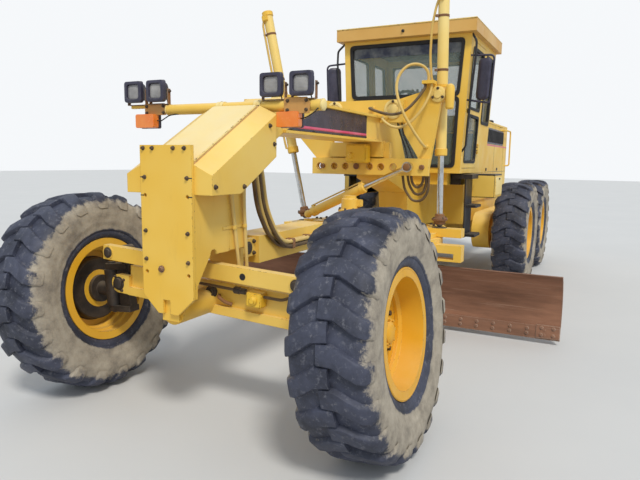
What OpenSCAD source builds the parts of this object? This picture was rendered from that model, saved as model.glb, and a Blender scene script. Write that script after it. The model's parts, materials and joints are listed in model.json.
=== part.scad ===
// Motor grader: front frame with a gooseneck, leaning front wheels, a drawbar, circle and blade,
// a hollow cab with two doors, and a rear frame with two tandem cases, hinged behind the cab.
// Millimetres. +X is forward, +Y is the machine's left, +Z is up, and the origin lies on the ground
// under the middle of the whole machine. Lengths along the machine are given from the front axle.

/* [Machine] */
// Front axle to the middle of the tandems
wheel_base = 6086; // [5950:1:6250]
// Distance between the two wheels of a tandem
tandem_pitch = 1524; // [1480:1:1600]
// Width between the middles of the front tyres
front_track = 2170; // [2120:1:2240]
// Width between the middles of the rear tyres
rear_track = 2070; // [2040:1:2140]
// Front axle to the rear face of the bumper
rear_reach = 8040; // [8000:1:8200]
// Front axle to the hinge between the frames
hitch_reach = 4700; // [4680:1:4740]
// Radius of the towing pin's bore
tow_r = 22; // [18:0.5:26]
// Half width of the engine hood
hood_half = 425; // [400:1:440]
// Top of the engine hood
hood_top = 2230; // [2180:1:2260]
// Front axle to the front end of the hood
hood_reach = 5060; // [5050:1:5100]

/* [Tyres and rims] */
// Diameter over the lugs
tyre_d = 1348; // [1300:1:1380]
// Width of the tyre at its widest
tyre_w = 445; // [420:1:460]
// Half width of the flat tread
tread_half = 120; // [110:1:140]
// Diameter of the rim's flange
flange_d = 704; // [690:1:715]
// Half width of the rim
rim_half = 172; // [165:1:180]
// Radius of the wheel hub
hub_r = 130; // [115:1:140]
// Lugs around each side of the tread
lug_count = 20; // [16:1:24]
// Depth of the grooves between the lugs
lug_depth = 30; // [20:1:40]
// Thickness of a lug along the tread
lug_width = 92; // [80:1:100]

/* [Front axle] */
// Lean of the front wheels as parked, tops to the right
wheel_lean = 5; // [0:0.5:12]
// Half distance between the lean pivots
pivot_y = 700; // [680:1:720]
// Height of the lean pivots
pivot_z = 740; // [725:1:755]
// Kingpin outboard of the lean pivot
king_out = 160; // [150:1:170]
// Height of the lean bar's pins above the lean pivots
lean_arm = 215; // [205:1:230]
// Length of the steering arms
steer_arm = 240; // [230:1:260]
// Half depth of the axle beam, front to back
axle_half = 100; // [90:1:105]

/* [Front frame] */
// Half width of the column
column_half = 180; // [170:1:190]
// Front face of the column ahead of the axle
column_front = 398; // [385:1:420]
// Thickness of the front plate
plate_t = 20; // [12:1:30]
// Radius of the four attachment holes in the front plate
plate_hole_r = 11; // [9:0.5:13]
// Height of the front plate's top edge
plate_top = 1670; // [1640:1:1700]
// Half width of the nose
nose_half = 300; // [280:1:310]
// Half width of the main beam
beam_half = 165; // [150:1:175]
// Top of the main beam
beam_top = 2020; // [2000:1:2040]
// Underside of the main beam
beam_low = 1780; // [1765:1:1800]
// Thickness of the beam's flanges
flange_t = 20; // [12:1:26]

/* [Cab] */
// Front axle to the front face of the cab
cab_front_reach = 3500; // [3480:1:3530]
// Length of the cab
cab_len = 1350; // [1330:1:1360]
// Half width of the cab at its floor
cab_low_half = 670; // [660:1:690]
// Half width of the cab under its roof
cab_top_half = 740; // [720:1:755]
// Underside of the cab floor
cab_floor = 1480; // [1470:1:1500]
// Underside of the roof
roof_low = 2960; // [2930:1:2980]
// Thickness of the roof
roof_t = 135; // [110:1:150]
// Thickness of the cab's walls
wall_t = 50; // [40:1:60]
// Thickness of the glass
glass_t = 6; // [5:1:8]

/* [Blade] */
// Front axle to the centre of the circle
circle_reach = 2450; // [2430:1:2470]
// Outer radius of the circle
circle_r = 765; // [740:1:780]
// Overall length of the blade
blade_len = 3710; // [3600:1:3740]
// Radius of the moldboard's curve
blade_curve = 413; // [405:1:420]
// Thickness of the moldboard
blade_t = 22; // [18:1:25]
// Height of the cutting edge above the ground
edge_z = 38; // [20:1:60]

/* [Cylinders] */
// Radius of the lift cylinders' barrels
lift_barrel_r = 50; // [45:1:55]
// Radius of the lift cylinders' rods
lift_rod_r = 28; // [24:1:32]
// Radius of the centre-shift cylinder's barrel
shift_barrel_r = 45; // [40:1:50]
// Radius of the centre-shift cylinder's rod
shift_rod_r = 25; // [20:1:28]

/* [Hidden] */
$fn = 48;
gap = 0.3;
fit = 0.1;
mid_x = (tyre_d / 2 - rear_reach) / 2;

// Tyre outlines, each point [radius, distance from the middle of the tyre]: the carcass below the
// grooves, and the crown that the lugs' tops follow
tyre_r = tyre_d / 2;
bead_y = rim_half - 14 - gap;
groove_r = tyre_r - lug_depth;
tyre_side = [
  [flange_d / 2 + 1, rim_half - 2], [tyre_r - 250, tyre_w / 2 - 8], [tyre_r - 170, tyre_w / 2],
  [tyre_r - 90, tyre_w / 2 - 8], [groove_r - 12, tread_half + 50], [groove_r, tread_half]];
crown = [
  [tyre_r - 84, 0], [tyre_r - 84, tyre_w / 2 - 4], [tyre_r - 59, tyre_w / 2 - 5],
  [tyre_r - 20, tread_half + 62], [tyre_r, tread_half], [tyre_r, 0]];
// A lug seen from outside: [distance from the middle, its leading edge along the tread]
lug_run = [[-26, 56], [56, 52], [104, 20], [160, -14], [tyre_w / 2 + 8, -36]];
rim_r = flange_d / 2 - 34;

// Front axle: the axle tilts so that both leaned tyres stand on the ground
wheel_out = front_track / 2 - pivot_y;
axle_tilt = asin(wheel_out * sin(wheel_lean) / pivot_y);
wheel_stand = max([for (p = crown) p[0] * cos(wheel_lean) + p[1] * sin(wheel_lean)]);
hub_drop = (wheel_stand - pivot_z) / cos(wheel_lean);
yoke_lean = wheel_lean + axle_tilt;
fork_half = 70;
ear_t = 35;
ear_r = 62;
king_r = 25;
knuckle_r = 55;
king_top = 80;
king_low = -170;
ball_drop = -140;
ball_r = 28;
lean_pin_r = 18;
lean_x0 = axle_half + 10;
lean_bar_t = 60;
hub_in = 82;
ball_slack = 12;
disc_t = 18;
axle_pin_r = 40;
axle_boss_r = 80;
hanger_x = -150;

// Frame heights and lengths, from the front axle
column_rear = 85;
column_low = 1060;
nose_low = 1405;
nose_rear = -250;
leg_front = -2600;
leg_rear = -3280;
frame_rear = -4560;
hitch_x = -hitch_reach;
hitch_low = 850;
hitch_top = 1290;
hitch_ear = 40;
hitch_r = 90;
hitch_pin_r = 40;

// Rear frame
bumper_x = -rear_reach;
rail_front = hitch_x - 220;
rail_low = 780;
rail_high = 1060;
rail_in = 330;
hood_x1 = -hood_reach;
hood_x0 = bumper_x + 80;
engine_x1 = hood_x1 - 240;
engine_x0 = bumper_x + 940;

// Cab, from the front axle
cab_x1 = -cab_front_reach;
cab_x0 = cab_x1 - cab_len;
cab_high = roof_low - cab_floor;
side_tilt = atan((cab_top_half - cab_low_half) / cab_high);
side_high = cab_high / cos(side_tilt);
door_x1 = cab_x1 - 70;
door_x0 = cab_x1 - 740;
door_low = 60;
door_high = side_high - 60;
door_t = 40;
door_gap = 5;
hinge_y = 14;
hinge_len = 70;
hinge_pin_r = 6;
hinge_z = [250, 1100];

// Blade group
lift_x = -2551;
arm_x = -2455;
circle_x = -circle_reach;
ball_x = -240;
ball_z = 1030;
swing_pin_r = 25;
cross_pin_r = 30;
swing_barrel_r = 48;
plate_z = 895;
plate_h = 40;
circle_low = 800;
wing_low = 900;
wing_top = 980;
eye_r = 40;
eye_z = wing_top + eye_r + 10;
tip_x = -2760;
tip_z = 360;
tip_r = 45;
arm_y = 560;
arm_t = 60;
curve_x = -2169;
curve_z = 284;
blade_top = 640;
blade_low = 150;
shift_cyl_x = -2648;
shift_cyl_z = 400;

// Lift cylinders: [side, trunnion y, trunnion z, eye y]
trunnion_left = [700, 2210];
trunnion_right = [-1000, 2215];
eye_left = [725, eye_z];
eye_right = [-730, eye_z];
barrel_below = 540;
barrel_above = 950;
lift_rod_len = 1500;
ring_half = arm_x - lift_x - gap;

// Centre-shift cylinder, [y, z] of its two ends
cs_x = -2300;
cs_top = [472, 1551];
cs_base = [-560, 1062];
cs_len = norm(cs_top - cs_base);
cs_angle = atan2(cs_top[1] - cs_base[1], cs_top[0] - cs_base[0]);

// Hoses of the left lift cylinder, routes chosen by hand
hose_r = 13;
hose_block_y = [565, 675];
hose_block_z = [2300, 2330];
hose_inner = [
  [-2300, 100, 2090], [-2262, 100, 2090], [-2228, 112, 2084], [-2208, 148, 2070], [-2205, 200, 2052],
  [-2208, 255, 2036], [-2218, 312, 2026], [-2235, 365, 2028], [-2252, 420, 2046], [-2272, 470, 2082],
  [-2295, 512, 2130], [-2320, 545, 2178], [-2345, 570, 2225], [-2365, 590, 2268], [-2365, 590, 2300]];
hose_outer = [
  [-2300, 230, 2000], [-2262, 230, 2000], [-2226, 238, 1990], [-2205, 262, 1966], [-2200, 300, 1938],
  [-2205, 345, 1915], [-2216, 395, 1908], [-2230, 445, 1920], [-2246, 492, 1950], [-2262, 535, 1992],
  [-2278, 572, 2040], [-2297, 602, 2090], [-2320, 624, 2145], [-2342, 641, 2200], [-2365, 650, 2262],
  [-2365, 650, 2300]];
hose_loop = [
  [-2365, 620, 2330], [-2365, 620, 2370], [-2358, 606, 2418], [-2344, 572, 2455], [-2322, 520, 2473],
  [-2295, 464, 2464], [-2265, 418, 2428], [-2238, 388, 2374], [-2215, 375, 2312], [-2198, 378, 2246],
  [-2186, 394, 2180], [-2178, 418, 2115], [-2176, 448, 2050], [-2180, 480, 1988], [-2192, 514, 1928],
  [-2212, 546, 1870], [-2240, 575, 1818], [-2275, 598, 1776], [-2315, 609, 1750], [-2348, 610, 1740],
  [-2380, 610, 1740]];

yellow = [0.87, 0.68, 0.25];
dark = [0.13, 0.13, 0.15];

module place() translate([-mid_x, 0, 0]) children();

// A block between two corners, given as ranges along X, Y and Z
module blk(x, y, z) translate([x[0], y[0], z[0]]) cube([x[1] - x[0], y[1] - y[0], z[1] - z[0]]);

// An outline in the XZ plane, made solid from y0 to y1
module side_plate(points, y0, y1)
  translate([0, y1, 0]) rotate([90, 0, 0]) linear_extrude(y1 - y0) polygon(points);

// An outline in the YZ plane, made solid from x0 to x1
module cross_plate(points, x0, x1)
  translate([x0, 0, 0]) rotate([90, 0, 90]) linear_extrude(x1 - x0) polygon(points);

module rod_x(x0, x1, y, z, r) translate([x0, y, z]) rotate([0, 90, 0]) cylinder(r = r, h = x1 - x0);
module rod_y(x, y0, y1, z, r) translate([x, y1, z]) rotate([90, 0, 0]) cylinder(r = r, h = y1 - y0);
module rod_z(x, y, z0, z1, r) translate([x, y, z0]) cylinder(r = r, h = z1 - z0);

module both_sides() {
  children();
  mirror([0, 1, 0]) children();
}

// The tilted axle, and the leaned space of one wheel with its origin at the lean pivot
module on_axle()
  place() translate([0, 0, pivot_z]) rotate([-axle_tilt, 0, 0]) translate([0, 0, -pivot_z]) children();

module leaned(side)
  on_axle() translate([0, side * pivot_y, pivot_z]) rotate([yoke_lean, 0, 0]) children();

// Outward is +Y for the left side and -Y for the right side
module outward(side) mirror([0, side < 0 ? 1 : 0, 0]) children();

// An outline of one side, from the middle out, turned into the whole ring around the wheel's axis
module wheel_ring(half, inner) {
  other = [for (i = [len(half) - 1 : -1 : 0]) [half[i][0], -half[i][1]]];
  rotate([90, 0, 0]) rotate_extrude($fn = 96) polygon(concat(inner, half, other, [for (i = [len(inner) - 1 : -1 : 0])
    [inner[i][0], -inner[i][1]]]));
}

module lug() translate([0, 0, tyre_r - 90]) linear_extrude(100) polygon(concat(
  [for (p = lug_run) [-p[1], p[0]]],
  [for (i = [len(lug_run) - 1 : -1 : 0]) [lug_width - lug_run[i][1], lug_run[i][0]]]));

// The two sides' lugs stand half a step apart
module tyre_shape() {
  step = 360 / lug_count;
  wheel_ring(tyre_side, [[rim_r + gap, 0], [rim_r + gap, bead_y], [flange_d / 2 + gap, bead_y]]);
  intersection() {
    union() for (side = [-1, 1], i = [1 : lug_count])
      rotate([0, (i - side / 4) * step, 0]) outward(side) lug();
    wheel_ring([for (i = [1 : len(crown) - 1]) crown[i]], [crown[0]]);
  }
}

module rim_shape() {
  color(yellow) {
    rotate([90, 0, 0]) rotate_extrude($fn = 96) polygon([
      [rim_r - 18, -rim_half], [flange_d / 2, -rim_half], [flange_d / 2, -rim_half + 14],
      [rim_r, -rim_half + 14], [rim_r, rim_half - 14], [flange_d / 2, rim_half - 14],
      [flange_d / 2, rim_half], [rim_r - 18, rim_half], [rim_r - 18, rim_half - 60],
      [rim_r - 34, rim_half - 68], [rim_r - 34, 60], [rim_r - 52, 50], [rim_r - 52, -30],
      [rim_r - 30, -45]]);
    rod_y(0, -disc_t / 2, disc_t / 2, 0, rim_r - 40);
    rod_y(0, -hub_in, 0, 0, hub_r);
    rod_y(0, 0, 70, 0, hub_r - 45);
  }
}

module front_wheel_at(side)
  leaned(side) translate([0, side * wheel_out, hub_drop]) outward(side) children();

module rear_wheel_at(side, step)
  place() translate([-wheel_base + step * tandem_pitch / 2, side * rear_track / 2, tyre_r])
    outward(side) children();

module lean_yoke(side) {
  color(dark) leaned(side) outward(side) {
    rod_x(-fork_half + gap, fork_half - gap, 0, 0, ear_r - 2);
    blk([-35, 35], [-32, 32], [0, lean_arm]);
    rod_x(-35, lean_x0 - gap, 0, lean_arm, 32);
    rod_x(0, lean_x0 + lean_bar_t + 12, 0, lean_arm, lean_pin_r);
    blk([-30, 30], [-10, king_out - knuckle_r - 20], [king_low - 40, king_top + 40]);
    for (z = [king_top, king_low - 40]) {
      blk([-45, 45], [-10, king_out], [z, z + 40]);
      rod_z(0, king_out, z, z + 40, 45);
    }
    rod_z(0, king_out, king_low - 50, king_top + 50, king_r);
  }
}

module knuckle(side) {
  color(dark) leaned(side) outward(side) {
    difference() {
      union() {
        rod_z(0, king_out, king_low + gap, king_top - gap, knuckle_r);
        rod_y(0, king_out, wheel_out - hub_in - 28, hub_drop, 50);
        rod_y(0, wheel_out - hub_in - 28, wheel_out - hub_in - gap, hub_drop, 95);
        blk([-steer_arm, 0], [king_out - 25, king_out + 25], [-100, -76]);
        rod_z(-steer_arm, king_out, -100, -76, 35);
      }
      rod_z(0, king_out, king_low - 60, king_top + 60, king_r + fit);
    }
    rod_z(-steer_arm, king_out, ball_drop, -90, 14);
    translate([-steer_arm, king_out, ball_drop]) sphere(r = ball_r);
  }
}

module front_axle() {
  color(yellow) on_axle() {
    difference() {
      union() {
        blk([-axle_half, axle_half - 20], [-pivot_y + 80, pivot_y - 80], [675, 870]);
        blk([-axle_half, axle_half + 5], [-pivot_y + 80, pivot_y - 80], [675, 730]);
        rod_x(hanger_x + 38 + gap, column_front - 18 - gap, 0, pivot_z, axle_boss_r);
        both_sides() for (x = [fork_half, -fork_half - ear_t]) {
          rod_x(x, x + ear_t, pivot_y, pivot_z, ear_r);
          blk([x, x + ear_t], [pivot_y - 90, pivot_y], [pivot_z - ear_r, pivot_z + ear_r]);
        }
      }
      rod_x(hanger_x, column_front, 0, pivot_z, axle_pin_r + fit);
    }
  }
}

module lean_bar() {
  color(yellow) on_axle() translate([0, 0, pivot_z]) {
    shift = -lean_arm * sin(yoke_lean);
    high = lean_arm * cos(yoke_lean);
    difference() {
      blk([lean_x0, lean_x0 + lean_bar_t], [-pivot_y - 42 + shift, pivot_y + 42 + shift],
        [high - 47, high + 47]);
      for (side = [-1, 1])
        rod_x(lean_x0 - 1, lean_x0 + lean_bar_t + 1, side * pivot_y + shift, high, lean_pin_r + fit);
    }
  }
}

// Places a child at one steering ball, level with the axle
module at_ball(side)
  on_axle() translate([0, side * pivot_y, pivot_z])
    translate([-steer_arm, side * king_out * cos(yoke_lean) - ball_drop * sin(yoke_lean),
      side * king_out * sin(yoke_lean) + ball_drop * cos(yoke_lean)]) children();

module tie_rod_boot() {
  color(dark) leaned(1) difference() {
    rod_z(-steer_arm, king_out, ball_drop + 29, ball_drop + 38, 24);
    rod_z(-steer_arm, king_out, ball_drop, ball_drop + 60, 14 + gap);
  }
}

module tie_rod() {
  rise = -2 * king_out * sin(yoke_lean);
  span = -2 * pivot_y - 2 * king_out * cos(yoke_lean);
  angle = atan2(rise, span) - 180;
  reach = norm([rise, span]);
  color(dark) at_ball(1) rotate([angle, 0, 0]) {
    difference() {
      union() {
        rod_y(0, -reach + 50, -40, 0, 22);
        rod_z(0, 0, -13, 13, 46);
        rod_x(-42, 42, 0, 0, 20);
        rod_z(0, -reach, -13, 13, 58);
      }
      sphere(r = ball_r + gap);
      rod_z(0, -reach, -20, 20, ball_r + ball_slack);
    }
  }
}

module front_frame() {
  color(yellow) place() {
    // column, open below for the lean bar
    difference() {
      blk([column_rear, column_front], [-column_half, column_half], [830, nose_low + 60]);
      blk([column_rear + 30, column_front - 18], [-column_half + 16, column_half - 16],
        [800, nose_low - 30]);
      side_plate([[column_front - 18, 800], [column_front - 18, 900], [265, column_low],
        [205, column_low], [205, 1060], [column_rear - 10, 1060], [column_rear - 10, 800]],
        -column_half - 10, column_half + 10);
      blk([column_rear - 10, 205], [-column_half - 10, column_half + 10], [800, 1060]);
      rod_y(235, -column_half - 10, column_half + 10, column_low, 30);
      plate_holes();
    }
    blk([column_front - 18, column_front], [-60, 60], [pivot_z - axle_pin_r - 15, 850]);
    // hanger behind the axle, with the axle's pin and the drawbar's ears
    blk([hanger_x, column_rear + 40], [-120, 120], [1065, 1240]);
    blk([hanger_x, hanger_x + 38], [-120, 120], [680, 1240]);
    rod_x(hanger_x, column_front, 0, pivot_z, axle_pin_r);
    for (z = [ball_z + 71, ball_z - 101]) difference() {
      union() {
        blk([ball_x, hanger_x + 5], [-45, 45], [z, z + 30]);
        rod_z(ball_x, 0, z, z + 30, 45);
      }
    }
    rod_z(ball_x, 0, ball_z - 101, ball_z + 101, swing_pin_r);
    // nose
    nose();
    // main beam, its leg under the cab and the hitch
    side_plate([[-100, 1540], [-560, beam_low], [leg_front, beam_low], [leg_front, 1430],
      [-3230, 1262], [-3300, hitch_low], [frame_rear, hitch_low], [frame_rear, hitch_top + 60],
      [leg_rear - 150, hitch_top + 60], [leg_rear, 1440], [-2850, beam_top], [-620, beam_top],
      [-100, 1785]], -beam_half, beam_half);
    side_plate([[-620, beam_top], [-620, beam_top - flange_t], [-2850, beam_top - flange_t],
      [-2850, beam_top]], -beam_half - 25, beam_half + 25);
    side_plate([[-560, beam_low], [-560, beam_low + flange_t], [leg_front, beam_low + flange_t],
      [leg_front, beam_low]], -beam_half - 25, beam_half + 25);
    // saddle of the lift arms
    blk([-2490, -2410 - gap], [-350, 250], [1470, beam_low]);
    blk([-2410 - gap, -2350], [-350, 200], [1640, beam_low]);
    rod_x(-2415, -2352, -67, 1550, 20);
    blk([arm_x + 45, -2340], [-400, 400], [1960, 2170]);
    both_sides() rod_x(arm_x - 60, -2340, 300, 2080, 40);
    for (hose = [hose_inner, hose_outer]) rod_x(-2345, hose[0][0] - fit, hose[0][1], hose[0][2], 22);
    // hitch
    for (z = [hitch_low - hitch_ear - gap, hitch_top + gap]) {
      blk([hitch_x, frame_rear], [-hitch_r, hitch_r], [z, z + hitch_ear]);
      rod_z(hitch_x, 0, z, z + hitch_ear, hitch_r);
    }
    rod_z(hitch_x, 0, hitch_low - hitch_ear, hitch_top + hitch_ear, hitch_pin_r);
    // cab supports
    blk([cab_x0 + 300, cab_x1 - 60], [-520, 520], [hitch_top + 60, cab_floor - gap]);
  }
}

module nose() {
  rise = tan(29.5);
  tail = column_front - nose_rear;
  top_in = 1565;
  top_out = 1510;
  intersection() {
    side_plate([[column_front, nose_low], [136, nose_low], [nose_rear, nose_low + (136 - nose_rear) * 0.55],
      [nose_rear, top_in + tail * rise], [column_front, top_in]], -nose_half, nose_half);
    union() for (i = [0, 1]) mirror([0, i, 0]) {
      multmatrix([[1, 0, 0, 0], [0, 1, 0, 0], [-rise, 0, 1, column_front * rise], [0, 0, 0, 1]])
        cross_plate([[0, 1000], [nose_half, 1000], [nose_half, top_out], [column_half, top_in], [0, top_in]],
          nose_rear, column_front);
    }
  }
}

// Four holes for an attachment, through the front plate and the column's front wall
module plate_holes()
  for (y = [-149, 149], z = [962, 1393]) rod_x(column_front - 40, column_front + 60, y, z, plate_hole_r);

module front_plate() {
  tip = 35;
  color(yellow) place() difference() {
    cross_plate([[-column_half, 830], [-70, 730], [-tip, 730], [-tip, 810], [tip - 20, 810], [tip - 20, 730],
      [70, 730], [column_half, 830], [column_half, plate_top], [-column_half, plate_top]],
      column_front + gap, column_front + gap + plate_t);
    plate_holes();
  }
}

module lift_arms() {
  color(yellow) place() for (arm = [[1, trunnion_left, 590], [-1, trunnion_right, 430]]) {
    side = arm[0];
    t = arm[1];
    low = side * arm[2];
    difference() {
      union() {
        cross_plate([[side * 240, 2030], [side * 300, 2170], [t[0], t[1] + 70], [t[0] + side * 30, t[1] - 60],
          [low + side * 55, 1580], [low + side * 40, 1500], [low - side * 40, 1500], [low - side * 60, 1640],
          [side * 330, 1960]], arm_x, arm_x + 45 - gap);
        rod_x(arm_x, arm_x + 45 - gap, t[0], t[1], 75);
        rod_x(arm_x - 50, arm_x + 45 - gap, side * 300, 2080, 85);
      }
      rod_x(arm_x - 60, arm_x + 60, side * 300, 2080, 40 + gap);
      rod_x(arm_x - 10, arm_x + 60, low, 1550, 25 + gap);
    }
    rod_x(lift_x + lift_barrel_r + 16, arm_x + 20, t[0], t[1], 24);
  }
  color(yellow) place() {
    difference() {
      blk([-2410, -2360], [-550, 650], [1470, 1630]);
      for (y = [-467, -307, -187, -67, 71, 186, 309]) rod_x(-2415, -2355, y, 1550, y == -67 ? 20 + gap : 30);
    }
    rod_x(-2370, cs_x + 40, cs_top[0], cs_top[1], 20);
    for (y = [-430, 590]) rod_x(arm_x + 10, -2400, y, 1550, 25);
    // port block of the left cylinder's hoses, and the lower port
    blk([arm_x + 10, -2340], hose_block_y, hose_block_z);
    blk([arm_x + 10, arm_x + 45 - gap], hose_block_y, [2180, hose_block_z[1]]);
    rod_x(arm_x + 20, -2380, hose_loop[len(hose_loop) - 1][1], hose_loop[len(hose_loop) - 1][2], 20);
  }
}

function unit(v) = v / norm(v);
function heading(route, i) = unit(route[min(i + 1, len(route) - 1)] - route[max(i - 1, 0)]);
function square_to(v, way) = unit(v - (v * way) * way);

// A round hose swept along its route, with a ring of 8 points at each of the route's points
module hose(route) {
  count = len(route);
  sides = 8;
  sides_of_ring = [for (i = 0, n = cross(heading(route, 0), [0, 0.6, 0.8]); i < count;
    n = square_to(n, heading(route, min(i + 1, count - 1))), i = i + 1) n];
  points = [for (i = [0 : count - 1], k = [0 : sides - 1])
    let (way = heading(route, i), n = square_to(sides_of_ring[i], way), turn = k * 360 / sides)
      route[i] + hose_r * (cos(turn) * n + sin(turn) * cross(way, n))];
  walls = [for (i = [0 : count - 2], k = [0 : sides - 1], half = [0, 1])
    let (a = i * sides + k, b = i * sides + (k + 1) % sides)
      half == 0 ? [a, b, b + sides] : [a, b + sides, a + sides]];
  ends = [[for (k = [sides - 1 : -1 : 0]) k], [for (k = [0 : sides - 1]) (count - 1) * sides + k]];
  faces = concat(walls, ends);
  color(dark) place() polyhedron(points, [for (f = faces) [for (i = [len(f) - 1 : -1 : 0]) f[i]]]);
}

module lift_space(t, e) {
  angle = atan2(t[0] - e[0], t[1] - e[1]);
  place() translate([lift_x, t[0], t[1]]) rotate([-angle, 0, 0]) children();
}

module lift_ring(t, e) {
  color(yellow) lift_space(t, e) difference() {
    union() {
      blk([-ring_half, ring_half], [-75, 75], [-55, 55]);
    }
    rod_z(0, 0, -60, 60, lift_barrel_r + 12);
    rod_y(0, -80, 80, 0, 18 + fit);
    rod_x(lift_barrel_r + 5, ring_half + 1, 0, 0, 24 + fit);
  }
}

module lift_barrel(t, e) {
  color(yellow) lift_space(t, e) {
    difference() {
      union() {
        rod_z(0, 0, -barrel_below, barrel_above, lift_barrel_r);
        rod_z(0, 0, -barrel_below, -barrel_below + 45, lift_barrel_r + 6);
      }
      rod_z(0, 0, -barrel_below - 1, barrel_above - 30, lift_rod_r + gap);
    }
    for (y = [-90, lift_barrel_r - 5]) rod_y(0, y, y + 45, 0, 18);
  }
}

module lift_rod(t, e) {
  reach = norm(t - e);
  color("silver") lift_space(t, e) {
    rod_z(0, 0, -reach, -reach + lift_rod_len, lift_rod_r);
    translate([0, 0, -reach]) sphere(r = eye_r);
  }
}

module cs_space() place() translate([cs_x, cs_top[0], cs_top[1]]) rotate([cs_angle, 0, 0]) children();

module shift_ring() {
  color(yellow) cs_space() difference() {
    rod_x(-30, 35, 0, 0, 30);
    rod_x(-31, 36, 0, 0, 20 + fit);
  }
}

module shift_rod() {
  color("silver") cs_space() {
    difference() {
      union() {
        rod_y(0, -cs_len + 356, -30, 0, shift_rod_r);
        rod_x(-28, 28, 0, 0, 48);
      }
      rod_x(-31, 31, 0, 0, 30 + fit);
    }
  }
}

module shift_barrel() {
  color(yellow) cs_space() {
    difference() {
      rod_y(0, -cs_len + 50, -470, 0, shift_barrel_r);
      rod_y(0, -cs_len + 70, -460, 0, shift_rod_r + gap);
    }
    rod_y(0, -cs_len + 10, -cs_len + 60, 0, 30);
    translate([0, -cs_len, 0]) sphere(r = eye_r);
  }
}

module drawbar_pivot() {
  color(dark) place() {
    difference() {
      union() {
        rod_z(ball_x, 0, ball_z - 70, ball_z + 70, swing_barrel_r);
        rod_y(ball_x, -95, 95, ball_z, cross_pin_r);
      }
      rod_z(ball_x, 0, ball_z - 80, ball_z + 80, swing_pin_r + fit);
    }
  }
}

module drawbar() {
  color(yellow) place() {
    difference() {
      union() {
        both_sides() {
          rod_y(ball_x, swing_barrel_r + 2, 95, ball_z, 60);
          blk([ball_x - 110, ball_x], [swing_barrel_r + 2, 95], [ball_z - 58, ball_z + 58]);
        }
        blk([-1350, ball_x - 90], [-120, 120], [920, 1100]);
        both_sides() drawbar_leg();
        translate([circle_x, 0, plate_z]) cylinder(r = 720, h = plate_h, $fn = 96);
        both_sides() blk([lift_x - 70, lift_x + 70], [0, 950], [wing_low, wing_top]);
        rod_z(cs_x, cs_base[0], wing_low, cs_base[1] - eye_r - 8, 45);
      }
      rod_y(ball_x, -100, 100, ball_z, cross_pin_r + fit);
      translate([circle_x, 0, plate_z - 5]) cylinder(r = 560, h = 20, $fn = 96);
      // room for the right rod's eye, which dips as the drawbar swings
      blk([lift_x - 75, lift_x + 75], [-955, -600], [wing_top - 35, wing_top + 5]);
    }
  }
}

module drawbar_leg() translate([0, 0, 930]) linear_extrude(70)
  polygon([[-1250, 0], [-1250, 120], [-2150, 660], [-2260, 660], [-2260, 560], [-1500, 60], [-1500, 0]]);

module turn_circle() {
  color(yellow) place() {
    difference() {
      translate([circle_x, 0, circle_low]) cylinder(r = circle_r, h = plate_z - gap - circle_low, $fn = 96);
      translate([circle_x, 0, circle_low - 1]) cylinder(r = circle_r - 145, h = 200, $fn = 96);
    }
    both_sides() difference() {
      union() {
        side_plate([[-2900, circle_low + 10], [-2640, circle_low + 10], [-2715, 300], [-2820, 300]],
          arm_y, arm_y + arm_t);
        rod_y(tip_x, arm_y, arm_y + arm_t, tip_z, 75);
      }
      rod_y(tip_x, arm_y - 1, arm_y + arm_t + 1, tip_z, tip_r + fit);
    }
    difference() {
      blk([-2420, -2300], [-1000, 1000], [700, 850]);
      blk([-2430, -2290], [-560, 560], [690, circle_low]);
      both_sides() blk([-2430, -2290], [730, 930], [720, 775]);
    }
  }
}

module blade_arc(r0, r1, z0, z1, y0, y1) {
  translate([0, y1, 0]) rotate([90, 0, 0]) linear_extrude(y1 - y0) intersection() {
    translate([curve_x, curve_z]) difference() {
      circle(r = r1, $fn = 160);
      circle(r = r0, $fn = 160);
    }
    polygon([[curve_x - 500, z0], [curve_x, z0], [curve_x, z1], [curve_x - 500, z1]]);
  }
}

module moldboard() {
  color([0.45, 0.3, 0.22]) place() {
    blade_arc(blade_curve, blade_curve + blade_t, blade_low, blade_top, -blade_len / 2 + 6, blade_len / 2 - 6);
    edge_strip(-1, 58, 0, blade_t, blade_len / 2 - 6);
    for (rail = [[200, -2585], [520, -2520]]) blk([-2650, rail[1]], [-1200, 1200], [rail[0] - 16, rail[0] + 16]);
    rod_y(shift_cyl_x, -150, 1290, shift_cyl_z, 20);
    blk([-2690, -2590], [1290, 1330], [shift_cyl_z - 50, shift_cyl_z + 50]);
  }
}

// The straight strip under the moldboard's curve, from its lower edge down, forward face at depth 0
module edge_strip(top, bottom, front, back, half) {
  slope = asin((curve_z - blade_low) / blade_curve);
  translate([curve_x - blade_curve * cos(slope), 0, blade_low]) rotate([0, -90 - slope, 0])
    blk([-bottom, -top], [-half, half], [front, back]);
}

module cutting_edge() {
  slope = asin((curve_z - blade_low) / blade_curve);
  color([0.35, 0.27, 0.22]) place()
    edge_strip(1, (blade_low - edge_z) / cos(slope), -20 - gap, -gap, blade_len / 2);
}

module blade_carrier() {
  color(yellow) place() {
    rod_y(tip_x, -arm_y - arm_t - 8, arm_y + arm_t + 8, tip_z, tip_r);
    difference() {
      union() {
        both_sides() {
          side_plate([[tip_x - 60, tip_z - 50], [-2700, 160], [-2612, 160], [-2612, 240], [-2625, 260], [-2625, 460],
            [-2600, 480], [-2575, 565], [-2660, 565], [tip_x - 60, tip_z + 50]], 450, arm_y - gap);
        }
        rod_y(shift_cyl_x, -720, 400, shift_cyl_z, 32);
      }
      for (z = [200, 520]) blk([-2655, -2500], [-700, 700], [z - 17, z + 17]);
      rod_y(shift_cyl_x, -700, arm_y + 5, shift_cyl_z, 20 + gap);
    }
  }
}

module lamp_bar() {
  color(yellow) place() {
    rod_y(-300, -595, 595, 1930, 35);
    both_sides() side_plate([[-330, 1889.5], [-270, 1862.5], [-270, 1925], [-330, 1925]], 130, 160);
    blk([-312, -288], [-930, -560], [1945, 1965]);
  }
}

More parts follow.
